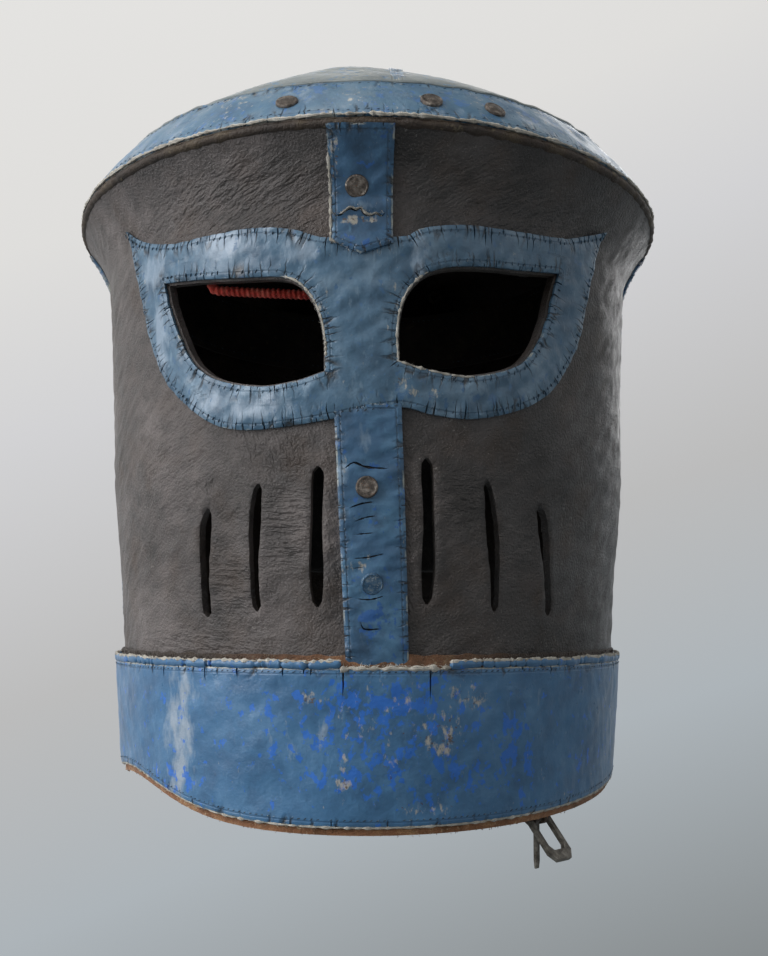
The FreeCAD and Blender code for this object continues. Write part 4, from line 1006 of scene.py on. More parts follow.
def makeForeheadStrip():
    look = foreheadStrip
    base = 0.1
    top = float(rimAt(np.array([0.0]))[0]) - 0.8
    outline = traced([(look["left"], top), (look["right"], top), (look["right"] + 0.2, -60.0),
                      (look["right"] + 0.4, look["low"][1]), look["tip"], (look["left"] + 0.2, look["low"][0]),
                      (look["left"] + 0.1, -60.0)], (0, 1, 3, 4, 5))
    tear = traced(look["tear"], closed=False, step=0.5)
    piece = sheet("foreheadStrip", look["left"] - 1, look["right"] + 2, level(-84.0), level(top + 1), 0.9, base,
                  look["thick"])
    cut(piece, [outline], "INTERSECT")
    places = crackPlaces(outline, 7.0, 81, 3.4)
    cut(piece, notches(outline, *places, 0.45, seed=82)
        + [split(look["crack"], 0.7), split(tear[2:], 0.9)])
    gap = nameEdges(piece, [outline])

    def swell(x, y):
        below = np.clip((-(y + 67.5) + (x + 4) * 0.05) / 3, 0, 1)
        onTrim = np.clip((-74.0 - y) / 4, 0, 1) * 1.35
        bulge = 0.5 * np.exp(-((y + 66) / 4) ** 2 - ((x + 4) / 8) ** 2)
        return faceSwell(x, y) + 0.16 * waves(x, y, 7, 83) + onTrim - 0.25 * below * (1 - onTrim) + bulge
    wrap(piece, onWall, base, look["thick"], swell, gap, 0.5)
    paintSpots(piece, foreheadWear)
    finish(piece, paintStrip, "blue_leather", ["forehead_strip"])
    onTop = lambda x, y, d: onWall(x, y, d + swell(np.asarray(x, float), np.asarray(y, float)))
    seam = inset(outline, 1.7)
    finish(stitching("foreheadStitching", onTop, [seam], base + look["thick"] - 0.05, seed=84), threadFinish,
           "blue_leather")
    lips = [roll("lip", onTop, tear[5:-5] + [0, 0.4], base + look["thick"] - 0.05, 0.35, 0.3, 8, seed=85, rough=0.8,
                 pitch=2.4),
            roll("lip", onTop, outline[len(outline) * 2 // 3:-8], base + look["thick"] - 0.2, 0.4, 0.4, 6, seed=86,
                 rough=0.7, pitch=2.2),
            fibres("fray", onTop, tear + [0, 0.5], base + look["thick"] + 0.1, 80, 1.5, 87),
            fibres("fray", onTop, outline[-52:-6], base + look["thick"] - 0.1, 60, 1.6, 88)]
    finish(joined("foreheadFray", lips), frayFinish, "suede")


def makeNoseStrip():
    look = noseStrip
    base, thick = 0.05, look["thick"]
    outline = traced([(look["topLeft"], look["top"]), (look["topRight"], look["top"]),
                      (look["topRight"] + 1.9, -180.0), (look["bottomRight"], look["bottom"]),
                      (look["bottomLeft"], look["bottom"]), (look["topLeft"] + 1.9, -180.0)], (0, 1, 3, 4))
    piece = sheet("noseStrip", look["topLeft"] - 1, look["bottomRight"] + 1, level(look["bottom"] - 1),
                  level(look["top"] + 1), 0.9, base, thick)
    cut(piece, [outline], "INTERSECT")
    places = crackPlaces(outline, 9.0, 91, 3.0, 0.4)
    cut(piece, [split(points, width) for points, width in look["cracks"]])
    cut(piece, notches(outline, *places, 0.45, seed=92))
    gap = nameEdges(piece, [outline])

    def swell(x, y):
        return (faceSwell(x, y) * 0.4 + 0.2 * waves(x, y, 7, 93, stretch=2.0)
                + 0.14 * waves(x, y, 3.0, 94, stretch=3.0))
    wrap(piece, onWall, base, thick, swell, gap, 0.5)
    paintSpots(piece, noseWear)
    finish(piece, paintStrip, "blue_leather", ["nose_strip"])
    onTop = lambda x, y, d: onWall(x, y, d + swell(np.asarray(x, float), np.asarray(y, float)))
    seam = inset(outline, 1.9)
    keep = seam[(seam[:, 1] < look["top"] - 3) & (seam[:, 1] > look["bottom"] + 3)]
    sides = [keep[keep[:, 0] > 2.5], keep[keep[:, 0] < 2.5]]
    bridge = traced([(-12.6, -137.2), (0.0, -136.4), (13.6, -134.0)], closed=False)
    finish(stitching("noseStitching", onTop, sides + [bridge], base + thick - 0.05, seed=95), threadFinish,
           "blue_leather")


makeGoggle()
makeForeheadStrip()
makeNoseStrip()
print("goggle trim and strips made")


# the chin and nape bands
band = {"backing": 2.0, "thick": 1.6, "drop": 1.6, "ledge": 4.6, "step": 1.3, "footDrop": 1.2}
# the pale spot at x -68 is a painted reflection on the glossy paint over some scuffing; the pale spot at x -20 is
# scuffing
bandWearAndReflection = {
    "cobaltWear": [(2, -246, 46, 24, 0.6), (4, -237, 22, 9, 1.1), (30, -262, 20, 10, 0.7), (-26, -240, 10, 8, 0.4),
                   (52, -255, 9, 16, 0.85), (78, -262, 9, 8, 0.5), (-72, -266, 14, 6, 0.6), (2, -262, 16, 8, 0.9)],
    "paleWearAndHighlight": [(-68, -250, 8, 30, 1.0), (-20, -250, 16, 10, 0.35)],
    "chipWear": [(25, -248, 9, 9, 1.0), (34, -235, 9, 6, 0.9), (-20, -235.5, 3, 3, 1.15), (-9, -257, 3, 4, 0.8),
                 (-8, -264, 4, 3, 1.1), (8, -258, 6, 6, 0.6), (0, -240, 30, 14, 0.35), (20, -273, 12, 3, 0.8)]}
# the deepest cracks down from the top edge: x seen from the front, and depth
bandCracks = [(-76.9, 4.0), (-72.3, 4.5), (-59.5, 8.0), (-56.1, 5.5), (-44.3, 3.2), (-28.4, 3.0), (-18.9, 2.5),
              (-8.2, 10.0), (20.8, 11.0)]
bandBase = band["backing"] + 0.05
tornFrom, tornTo = -8.2, 27.5          # where the rolled top edge is torn away
bandTop = form["bandTop"]


def bandSwell(x, y):
    x, y = np.asarray(x, float), np.asarray(y, float)
    middle = np.clip((bandTop - y) / 12, 0, 1) * np.clip((y - hemAt(wrapped(x))) / 8, 0, 1)
    return 0.45 * waves(x, y, 34, 101) * middle + 0.12 * waves(x, y, 9, 102, stretch=0.5)


def bandShape(x, y, depth):
    return onWall(wrapped(x), y, depth + bandSwell(x, y))


def makeBand(name, left, right, node, front):
    piece = sheet(name, left, right, lambda x: hemAt(wrapped(x)), level(bandTop), band["step"], bandBase,
                  band["thick"])
    line = np.arange(left, right, 1.0)
    top = np.column_stack([line, np.full_like(line, bandTop)])
    foot = np.column_stack([line, hemAt(wrapped(line))])
    outline = np.vstack([top, foot[::-1]])
    draw = np.random.default_rng(103)
    if front:
        places, depths = [flatX(x, bandTop) for x, _ in bandCracks], [depth for _, depth in bandCracks]
        extra = draw.uniform(left + 5, right - 5, 14)
    else:
        places, depths, extra = [], [], draw.uniform(left + 5, right - 5, 22)
    places, depths = np.concatenate([places, extra]), np.concatenate([depths, draw.uniform(1.2, 3.5, len(extra))])
    wedges = [[(p - 0.35, bandTop + 1), (p + 0.35, bandTop + 1), (p + 0.3, bandTop - d * 0.6),
               (p + draw.normal(0, 0.3), bandTop - d), (p - 0.25, bandTop - d * 0.6)]
              for p, d in zip(places, depths)]
    lower = draw.uniform(left + 4, right - 4, 16)
    wedges += [[(p + 0.3, float(hemAt(wrapped(p))) - 1), (p - 0.3, float(hemAt(wrapped(p))) - 1),
                (p - 0.2, float(hemAt(wrapped(p))) + 2), (p, float(hemAt(wrapped(p))) + 3.5)] for p in lower]
    order = sorted(wedges, key=lambda wedge: wedge[0][0])
    apart = [order[0]] + [b for a, b in zip(order, order[1:]) if b[0][0] - a[0][0] > 1.6]
    cut(piece, apart)
    gap = nameEdges(piece, [top, foot])
    wrap(piece, bandShape, bandBase, band["thick"], None, gap, 0.5)
    if front:
        paintSpots(piece, bandWearAndReflection)
    else:
        for key in ("cobaltWear", "paleWearAndHighlight", "chipWear"):
            setAttribute(piece, key, 0.35 + 0.3 * waves(coordsOf(piece)[:, 0] / mm, coordsOf(piece)[:, 2] / mm, 25, 7))
    finish(piece, paintChin, "blue_leather", [node])
    return top, foot


# the rolled top edge, its torn grain, the stitch rows and the loose fibres at top and foot
def makeBandEdges(name, left, right, front):
    parts, frays = [], []
    spans = [(left, right)] if not front else [(left, float(flatX(tornFrom, bandTop))),
                                               (float(flatX(tornTo, bandTop)), right)]
    for number, (a, b) in enumerate(spans):
        x = np.arange(a, b, 0.7)
        line = np.column_stack([x, bandTop + 1.2 + 0.25 * waves(x, x * 0, 18, 111)])
        pinches = np.sort(np.random.default_rng(110 + number).uniform(a, b, int((b - a) / 7)))
        bead = roll("bead", bandShape, line, bandBase + band["thick"] - 0.6, 1.5, 0.95, 10, seed=112 + number,
                    rough=0.14, pitch=5.0, pinches=pinches)
        parts.append(bead)
        crest = line + [0, 1.1]
        frays.append(roll("lip", bandShape, crest, bandBase + band["thick"] * 0.7, 0.75, 0.65, 7, seed=115 + number,
                          rough=0.5, pitch=2.6, pinches=pinches))
        frays.append(fibres("fray", bandShape, crest, bandBase + band["thick"] * 0.8, int((b - a) * 1.3), 1.7,
                            117 + number))
        under = line - [0, 1.5]
        frays.append(fibres("fray", bandShape, under, bandBase + band["thick"], int((b - a) * 0.5), 1.1,
                            119 + number, spread=0.5))
    if front:
        x = np.arange(spans[0][1] - 1, spans[1][0] + 1, 0.5)
        torn = np.column_stack([x, bandTop + 0.3 * waves(x, x * 0, 4, 121)])
        frays += [roll("lip", bandShape, torn, bandBase + band["thick"] * 0.8, 0.75, 0.6, 7, seed=122, rough=0.75,
                       pitch=3.0),
                  fibres("fray", bandShape, torn + [0, 0.6], bandBase + band["thick"] * 0.8, 150, 2.6, 123)]
    for bead in parts:
        for key in ("edgeGap", "edgeRun"):
            setAttribute(bead, key, np.full(len(bead.data.vertices), 1.6))
    finish(joined(name + "Roll", parts), paintChin, "blue_leather")
    x = np.arange(left + 1, right - 1, 0.7)
    foot = np.column_stack([x, hemAt(wrapped(x)) + 0.1])
    frays += [roll("lip", bandShape, foot, bandBase + band["thick"] * 0.55, 0.45, 0.5, 6, seed=124, rough=0.7,
                   pitch=2.6),
              fibres("fray", bandShape, foot, bandBase + band["thick"] * 0.5, int((right - left) * 1.2), 1.5, 125)]
    finish(joined(name + "Fray", frays), frayFinish, "suede")
    rows = [row(x, bandTop - 1.2),
            np.column_stack([x, hemAt(wrapped(x)) + 2.6])]
    finish(stitching(name + "Stitching", bandShape, rows, bandBase + band["thick"] - 0.08, pitch=2.4, seed=126),
           threadFinish, "blue_leather")


# the suede split behind the band: it shows as a soft ledge above it and a rim below it
def makeBacking(name, left, right, node):
    high = bandTop + band["ledge"]
    piece = sheet(name, left, right, lambda x: hemAt(wrapped(x)) - band["drop"] - band["footDrop"],
                  lambda x: high + 0.35 * waves(x, x * 0, 7, 131), 1.4, 0.05, band["backing"] - 0.05)
    x, y, depth = coordsOf(piece).T
    taper = np.clip((high - y) / band["ledge"], 0.12, 1)
    setCoords(piece, np.column_stack([x, y, 0.05 + (depth - 0.05) * (0.25 + 0.75 * taper)
                                      + 0.14 * waves(x, y, 2.2, 132) * (depth > 1)]))
    wrap(piece, aroundBack(onWall), 0.05, band["backing"])
    finish(piece, suedeFinish, "suede", [node])
    x = np.arange(left, right, 0.6)
    foot = np.column_stack([x, hemAt(wrapped(x)) - band["drop"] - band["footDrop"] + 0.2])
    crest = row(x, high - 1.2)
    nap = [fibres("nap", aroundBack(onWall), foot, 1.2, int((right - left) * 2.2), 1.3, 133),
           fibres("nap", aroundBack(onWall), crest, 1.0, int((right - left) * 2.0), 1.4, 134)]
    finish(joined(name + "Nap", nap), suedeFinish, "suede")


for name, left, right, nodes, front in (
        ("chinBand", -seamX, seamX, ("chin_band", "chin_band_backing"), True),
        ("napeBand", seamX + 0.4, 2 * halfGirth - seamX - 0.4, ("nape_band", "nape_band_backing"), False)):
    makeBand(name, left, right, nodes[0], front)
    makeBandEdges(name, left, right, front)
    makeBacking(name + "Backing", left, right, nodes[1])
print("bands made")


# the rear strip and the straps over the side seams
# a plain strip up the wall, stitched along both edges
def makeSideStrap(name, node, centre, width, low, high, seed):
    base, thick = 0.05, 1.6
    half = width / 2
    shape = lambda x, y, d: onWall(wrapped(x), y, d + 0.2 * waves(np.asarray(x, float), np.asarray(y, float), 9, seed))
    outline = traced([(centre - half, low), (centre + half, low), (centre + half, high), (centre - half, high)],
                     (0, 1, 2, 3))
    piece = sheet(name, centre - half - 1, centre + half + 1, level(low - 1), level(high + 1), 1.3, base, thick)
    cut(piece, [outline], "INTERSECT")
    places = crackPlaces(outline, 6.0, seed, 3.6, 0.35)
    cut(piece, notches(outline, *places, 0.45, seed=seed + 1))
    gap = nameEdges(piece, [outline])
    wrap(piece, shape, base, thick, None, gap, 0.5)
    for key, size in (("cobaltWear", 18), ("paleWearAndHighlight", 30), ("chipWear", 22)):
        place = coordsOf(piece) / mm
        setAttribute(piece, key, 0.35 + 0.4 * waves(place[:, 0] + place[:, 1], place[:, 2], size, seed + 2))
    finish(piece, paintStrip, "blue_leather", [node])
    seam = inset(outline, 1.9)
    rows = [seam[seam[:, 0] > centre + half - 3], seam[seam[:, 0] < centre - half + 3]]
    finish(stitching(name + "Stitching", shape, rows, base + thick - 0.05, seed=seed + 3), threadFinish,
           "blue_leather")


strapTop = float(rimAt(np.array([seamX]))[0]) - 0.8
backTop = float(rimAt(np.array([halfGirth]))[0]) - 0.8
makeSideStrap("seamStrapRight", "seam_strap_right", seamX, 22.0, bandTop - 1, strapTop, 141)
makeSideStrap("seamStrapLeft", "seam_strap_left", -seamX, 22.0, bandTop - 1, strapTop, 151)
makeSideStrap("rearStrip", "rear_strip", halfGirth, 24.0, bandTop - 1, backTop, 161)
print("straps made")


# the crown, brow band and welt
brow = {"low": 2.2, "high": 27.4, "thick": 1.6}
ridge = {"x": 10.5, "width": 5.0}


def makeCrownPanel(name, node, low, high):
    reach = rimHalf - 0.9
    bpy.ops.object.select_all(action="DESELECT")
    piece = sheet(name, low, high, level(-reach), level(reach), 2.2, -3.0, 3.0)
    angle = np.linspace(0, 2 * math.pi, 240, endpoint=False)
    cut(piece, [np.column_stack([np.cos(angle), np.sin(angle)]) * reach], "INTERSECT")
    edges = [np.array([[ridge["x"], -reach], [ridge["x"], reach]])]
    gap = nameEdges(piece, edges)
    share = wrap(piece, onCrown, -3.0, 3.0,
                 lambda x, y: (0.6 * waves(x, y, 45, 171) + 0.15 * waves(x, y, 8, 172) - 1.4)
                 * np.clip((reach - 22 - np.hypot(x, y)) / 15, 0, 1))
    place = coordsOf(piece) / mm
    setAttribute(piece, "cobaltWear", 0.25 + 0.5 * waves(place[:, 0], place[:, 1], 20, 173, stretch=3, heading=1.5))
    setAttribute(piece, "paleWearAndHighlight", 0.3 + 0.4 * waves(place[:, 0], place[:, 1], 30, 174))
    setAttribute(piece, "chipWear", 0.2 + 0.3 * waves(place[:, 0], place[:, 1], 26, 175))
    finish(piece, [crownFinish, leatherFlesh], "crown_leather", [node])
    fleshSide(piece, share)


def makeBrowBand():
    base, thick = 0.05, brow["thick"]
    piece = sheet("browBand", -halfGirth, halfGirth, level(brow["low"]), level(brow["high"]), 1.3, base, thick)
    x = np.arange(-halfGirth, halfGirth, 1.0)
    low, high = row(x, brow["low"]), row(x, brow["high"])
    draw = np.random.default_rng(181)
    wedges = []
    for p in np.arange(-halfGirth + 6, halfGirth - 6, 9.0) + draw.uniform(-3, 3, len(np.arange(
            -halfGirth + 6, halfGirth - 6, 9.0))):
        depth = draw.uniform(1.2, 5.0)
        wedges.append([(p - 0.3, brow["low"] - 1), (p + 0.3, brow["low"] - 1),
                       (p + draw.normal(0, 0.4), brow["low"] + depth)])
    cut(piece, wedges)
    gap = nameEdges(piece, [low, high])
    swell = lambda x, y: 0.22 * waves(np.asarray(x, float), np.asarray(y, float), 11, 182)
    shape = lambda x, y, d: onBrow(wrapped(x), y, d + swell(x, y))
    wrap(piece, shape, base, thick, None, gap, 0.5)
    mend(piece, gap=0.00002)
    place = coordsOf(piece) / mm
    for key, size, lift in (("cobaltWear", 16, 0.25), ("paleWearAndHighlight", 24, 0.25), ("chipWear", 18, 0.25)):
        setAttribute(piece, key, lift + 0.35 * waves(place[:, 0] + place[:, 1], place[:, 2] * 2, size, 183))
    finish(piece, paintBrow, "blue_leather", ["brow_band"])
    x = np.arange(-halfGirth, halfGirth, 0.7)
    foot = np.column_stack([x, brow["low"] + 0.1 + 0.15 * waves(x, x * 0, 12, 184)])
    crest = np.column_stack([x, brow["high"] - 0.2 + 0.2 * waves(x, x * 0, 15, 185)])
    bead = roll("browRoll", shape, crest, base + thick * 0.8, 1.1, 0.8, 8, seed=186, rough=0.15, pitch=5.0)
    for key in ("edgeGap", "edgeRun"):
        setAttribute(bead, key, np.full(len(bead.data.vertices), 0.8))
    finish(bead, crownFinish, "crown_leather")
    frays = [roll("lip", shape, foot, base + thick * 0.75, 0.6, 0.5, 6, seed=187, rough=0.7, pitch=2.6),
             fibres("fray", shape, foot, base + thick * 0.8, 620, 1.7, 188),
             fibres("fray", shape, crest, base + thick * 0.9, 420, 1.5, 189)]
    finish(joined("browFray", frays), frayFinish, "suede")
    rows = [foot + [0, 2.3], crest - [0, 2.4]]
    finish(stitching("browStitching", shape, rows, base + thick - 0.05, pitch=3.0, seed=190), threadFinish,
           "blue_leather")
    return shape


def makeRidge():
    reach = math.sqrt(crownRadius ** 2 - (form["rim"] + 19.0 - crownCentre) ** 2) + 1
    piece = sheet("crownRidge", ridge["x"] - ridge["width"] / 2, ridge["x"] + ridge["width"] / 2, level(-reach),
                  level(reach), 1.2, -1.0, 0.9)
    x, y, depth = coordsOf(piece).T
    arched = (0.35 * np.cos((x - ridge["x"]) / ridge["width"] * math.pi) * (depth > 0)
              - 1.2 * np.clip((rimHalf - 23 - np.hypot(x, y)) / 15, 0, 1))
    setCoords(piece, np.column_stack([x, y, depth + arched]))
    gap = nameEdges(piece, [np.array([[ridge["x"] - 2.5, -reach], [ridge["x"] - 2.5, reach]]),
                            np.array([[ridge["x"] + 2.5, -reach], [ridge["x"] + 2.5, reach]])])
    wrap(piece, onCrown, -1.0, 0.9, lambda x, y: 0.15 * waves(x, y, 9, 192), gap, 0.3)
    for key in ("cobaltWear", "paleWearAndHighlight", "chipWear"):
        setAttribute(piece, key, np.full(len(piece.data.vertices), 0.45))
    finish(piece, paintBrow, "blue_leather", ["crown_ridge_strap"])


def makeWelt():
    x = np.arange(-halfGirth, halfGirth, 0.9)
    line = np.column_stack([x, 0.15 * waves(x, x * 0, 30, 195)])
    welt = roll("browWelt", onWelt, line, 0.0, 1.6, 1.8, 14, closed=True, seed=196, rough=0.12, pitch=5)
    cover = roll("cover", onWelt, line + [0, 1.3], 0.4, 0.6, 1.0, 10, closed=True, seed=197, rough=0.12, pitch=5)
    flange = sheet("flange", -halfGirth, halfGirth, level(-0.6), level(0.6), 1.2, -7.5, 6.5)
    setCoords(flange, onWelt(*coordsOf(flange).T))
    finish(joined("browWelt", [welt, cover, flange]), weltFinish, "welt_leather", ["crown_welt"])


makeCrownPanel("crownPanelLeft", "crown_panel_left", -rimHalf, ridge["x"] - 0.1)
makeCrownPanel("crownPanelRight", "crown_panel_right", ridge["x"] + 0.1, rimHalf)
browShape = makeBrowBand()
makeRidge()
makeWelt()
print("crown made")


# rivets
# a pressed cap spun from its section: a rolled rim and a low dome, one unit in radius
def rivetShape(dome):
    section = [(0.0, 0.30 + dome), (0.35, 0.29 + dome * 0.8), (0.62, 0.26 + dome * 0.4), (0.78, 0.25),
               (0.86, 0.29), (0.95, 0.25), (1.0, 0.14), (1.0, 0.0), (0.9, -0.05)]
    cap = spun("cap", section, 28)
    made = coordsOf(cap), [tuple(face.vertices) for face in cap.data.polygons]
    bpy.data.objects.remove(cap)
    return made


# the middle of each separate solid of a CAD node, in millimetres
def islands(node):
    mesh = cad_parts[node].data
    points = np.array([v.co for v in mesh.vertices]) / mm
    groups = []
    for point in points[np.argsort(points[:, 0])]:
        near = [g for g in groups if np.linalg.norm(np.mean(g, 0) - point) < 9]
        if near:
            near[0].append(point)
        else:
            groups.append([point])
    return [(np.min(g, 0) + np.max(g, 0)) / 2 for g in groups]


def makeRivets(name, node, shape, depth, dome, material, toFlat, radius=4.1, pick=None):
    centres = np.array(islands(node))
    x, y = toFlat(centres)
    if pick is not None:
        x, y = x[pick(centres)], y[pick(centres)]
    draw = np.random.default_rng(len(name))
    caps = copies(name, rivetShape(dome), shape, x, y, depth, draw.uniform(0, 6, len(x)), (radius, radius, radius))
    coords = coordsOf(caps)
    place = coords / mm
    coords += 0.05 * mm * np.column_stack([waves(place[:, 0], place[:, 1] + place[:, 2], 2.5, s) for s in (5, 6, 7)])
    setCoords(caps, coords)
    finish(caps, material, "rivet_steel", [node], angle=50)


def toWall(centres):
    turn = np.arctan2(centres[:, 0], -centres[:, 1] / form["ratio"])
    return np.interp(turn, turns, runs), centres[:, 2]


def toBrow(centres):
    turn = np.arctan2(centres[:, 0], -centres[:, 1] / form["ratio"])
    upright = centres[:, 2] + form["rise"] * centres[:, 1]
    reach = np.hypot(centres[:, 0], centres[:, 1] / form["ratio"])
    slope = np.arctan2(reach, upright - crownCentre)
    return np.interp(turn, turns, runs), (math.atan2(rimHalf, form["rim"] - crownCentre) - slope) * crownRadius


upperNose, lowerNose = (lambda centres: centres[:, 2] > -180), (lambda centres: centres[:, 2] < -180)
for settings in (("foreheadRivet", "forehead_rivet", swollenWall, 1.55, 0.0, rivetFinish, toWall),
                 ("noseRivetUpper", "nose_rivets", swollenWall, 1.5, 0.02, rivetFinish, toWall, 3.9, upperNose),
                 ("noseRivetLower", "nose_rivets", swollenWall, 1.5, 0.0, rivetPainted, toWall, 3.9, lowerNose),
                 ("rearRivets", "rear_rivets", onWall, 1.6, 0.02, rivetPainted, toWall),
                 ("seamRivets", "seam_rivets", onWall, 1.6, 0.03, rivetFinish, toWall),
                 ("browRivets", "brow_rivets", browShape, 1.6, 0.06, rivetFinish, toBrow, 4.0)):
    makeRivets(*settings)
for node in ("wall_burrs", "crown_burrs", "tab_rivet", "strap_rivet"):
    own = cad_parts[node]
    own.data.materials.clear()
    own.data.materials.append(rivetFinish)
print("rivets made")


# inside: headband, suspension, pads, strap and cord
inside = {"headband": 92.5, "thick": 1.8, "top": -49.0, "low": -77.0, "strap": 25.0, "strapThick": 2.0,
          "tail": 14.0, "flat": 1.3}


def onHeadband(x, y, depth):
    x, y, depth = alike(x, y, depth)
    return placed(turnAt(wrapped(x)), inside["headband"] + depth, y)


def makeHeadband():
    piece = sheet("headband", -halfGirth, halfGirth, level(inside["low"]), level(inside["top"]), 2.2,
                  -inside["thick"], inside["thick"])
    x = np.arange(-halfGirth, halfGirth, 2.0)
    rows = [row(x, inside["low"] + 2.5),
            row(x, inside["top"] - 2.5)]
    gap = nameEdges(piece, [rows[0] - [0, 2.5], rows[1] + [0, 2.5]])
    wrap(piece, onHeadband, -inside["thick"], inside["thick"], None, gap, 0.3)
    mend(piece, gap=0.00002)
    finish(piece, liningFinish, "lining_leather", ["headband"])
    thread = stitching("headbandStitching", onHeadband, rows, -inside["thick"] + 0.05, pitch=3.2, seed=201)
    finish(thread, threadFinish, "lining_leather")


# a strap over the head: two tails inside the headband and half an ellipse between them
def makeSuspension(name, node, turned):
    low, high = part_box(node)
    half = (high[1] - low[1] if turned else high[0] - low[0]) / mm / 2 - inside["strapThick"] / 2
    top = high[2] / mm - inside["strapThick"] / 2
    spring = inside["top"]
    rise = top - spring
    angle = np.linspace(0, math.pi, 120)
    arch = np.column_stack([-half * np.cos(angle), spring + rise * np.sin(angle)])
    tail = np.linspace(spring - inside["tail"], spring, 8, endpoint=False)
    path = np.vstack([np.column_stack([np.full(8, -half), tail]), arch,
                      np.column_stack([np.full(8, half), tail[::-1]])])
    run = np.concatenate([[0], np.cumsum(np.linalg.norm(np.diff(path, axis=0), axis=1))])
    normal = sideways(path, False)

    def shape(x, y, depth):
        x, y, depth = alike(x, y, depth)
        along = [np.interp(x, run, path[:, i]) + np.interp(x, run, normal[:, i]) * depth for i in (0, 1)]
        across = y
        sides = (-across, along[0]) if turned else (along[0], across)
        return np.column_stack([sides[0], sides[1], along[1]]) * mm

    wide = inside["strap"] / 2
    piece = sheet(name, 0, run[-1], level(-wide), level(wide), 2.0, -inside["strapThick"] / 2, inside["strapThick"])
    gap = np.minimum(coordsOf(piece)[:, 1] + wide, wide - coordsOf(piece)[:, 1])
    wrap(piece, shape, -inside["strapThick"] / 2, inside["strapThick"], None, gap, 0.4)
    finish(piece, strapFinish, "strap_leather", [node])
    x = np.arange(2, run[-1] - 2, 1.0)
    rows = [row(x, side * (wide - 2.2)) for side in (-1, 1)]
    thread = stitching(name + "Stitching", shape, rows, -inside["strapThick"] / 2 + 0.05, pitch=3.4, seed=202)
    finish(thread, threadFinish, "lining_leather")


padLook = {"voxel": 1.6, "soften": 0.5, "rounds": 14, "channel": 1.6, "sewn": 1.3, "puff": 0.18, "pitch": 19.0}
strapLook = {"inner": -6.3, "thick": 2.0, "holes": 5, "firstHole": 14, "holePitch": 20, "holeRadius": 1.6}
cordLook = {"radius": 1.9, "thin": 0.92, "ridge": 0.11, "sides": 18, "step": 0.22}


# a stuffed pad: the plain solid remeshed, its corners softened and its channels sewn down
def makePad(node, name, fill):
    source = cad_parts[node]
    pad = bpy.data.objects.new(name, source.data.copy())
    bpy.context.scene.collection.objects.link(pad)
    weld = pad.modifiers.new("weld", "WELD")
    weld.merge_threshold = 0.00002
    remesh = pad.modifiers.new("remesh", "REMESH")
    remesh.mode = "VOXEL"
    remesh.voxel_size = padLook["voxel"] * mm
    soften = pad.modifiers.new("soften", "SMOOTH")
    soften.factor = padLook["soften"]
    soften.iterations = padLook["rounds"]
    applyAll(pad)
    low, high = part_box(node)
    middle = np.array((low + high) / 2)
    place = coordsOf(pad)
    normals = np.array([v.normal for v in pad.data.vertices])
    across = np.arctan2(place[:, 0], -place[:, 1]) * 100 if abs(middle[1]) > abs(middle[0]) else place[:, 1] / mm
    channel = np.exp(-((np.mod(across, padLook["pitch"]) - padLook["pitch"] / 2) / padLook["channel"]) ** 2)
    flatTop = np.abs(normals[:, 2]) < 0.8
    puff = waves(place[:, 0] / mm + place[:, 1] / mm, place[:, 2] / mm, 9, 211) * padLook["puff"]
    setCoords(pad, place + normals * ((puff - channel * padLook["sewn"] * flatTop)[:, None] * mm))
    for attribute in [a.name for a in pad.data.attributes if a.name.startswith("material")]:
        pad.data.attributes.remove(pad.data.attributes[attribute])
    finish(pad, feltFinish, "felt", [node], angle=70)


def makeNeckStrap():
    low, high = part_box("neck_strap")
    top, bottom = high[2] / mm, low[2] / mm
    middle = (top + bottom) / 2
    radius = float(wallHalf(np.array([middle]))[0])
    ends = [math.acos(np.clip(-y / mm / (form["ratio"] * (radius - 5.3)), -1, 1)) for y in (low[1], high[1])]
    left, right = -float(np.interp(ends[1], turns, runs)), -float(np.interp(ends[0], turns, runs))
    inner, thick = strapLook["inner"], strapLook["thick"]
    piece = sheet("neckStrap", left, right, level(bottom), level(top), 1.2, inner, thick)
    half = (top - bottom) / 2
    nose = traced([(right, bottom), (right, top), (left + half, top), (left, middle), (left + half, bottom)],
                  (0, 1), step=1.0)
    cut(piece, [nose], "INTERSECT")
    holes = []
    angle = np.linspace(0, 2 * math.pi, 20, endpoint=False)
    for number in range(strapLook["holes"]):
        x = left + strapLook["firstHole"] + strapLook["holePitch"] * number
        holes.append(np.column_stack([x + strapLook["holeRadius"] * np.cos(angle),
                                      middle + strapLook["holeRadius"] * np.sin(angle)]))
    cut(piece, holes)
    gap = nameEdges(piece, [nose] + holes)
    wrap(piece, onWall, inner, thick, None, gap, 0.35)
    finish(piece, strapFinish, "strap_leather", ["neck_strap"])


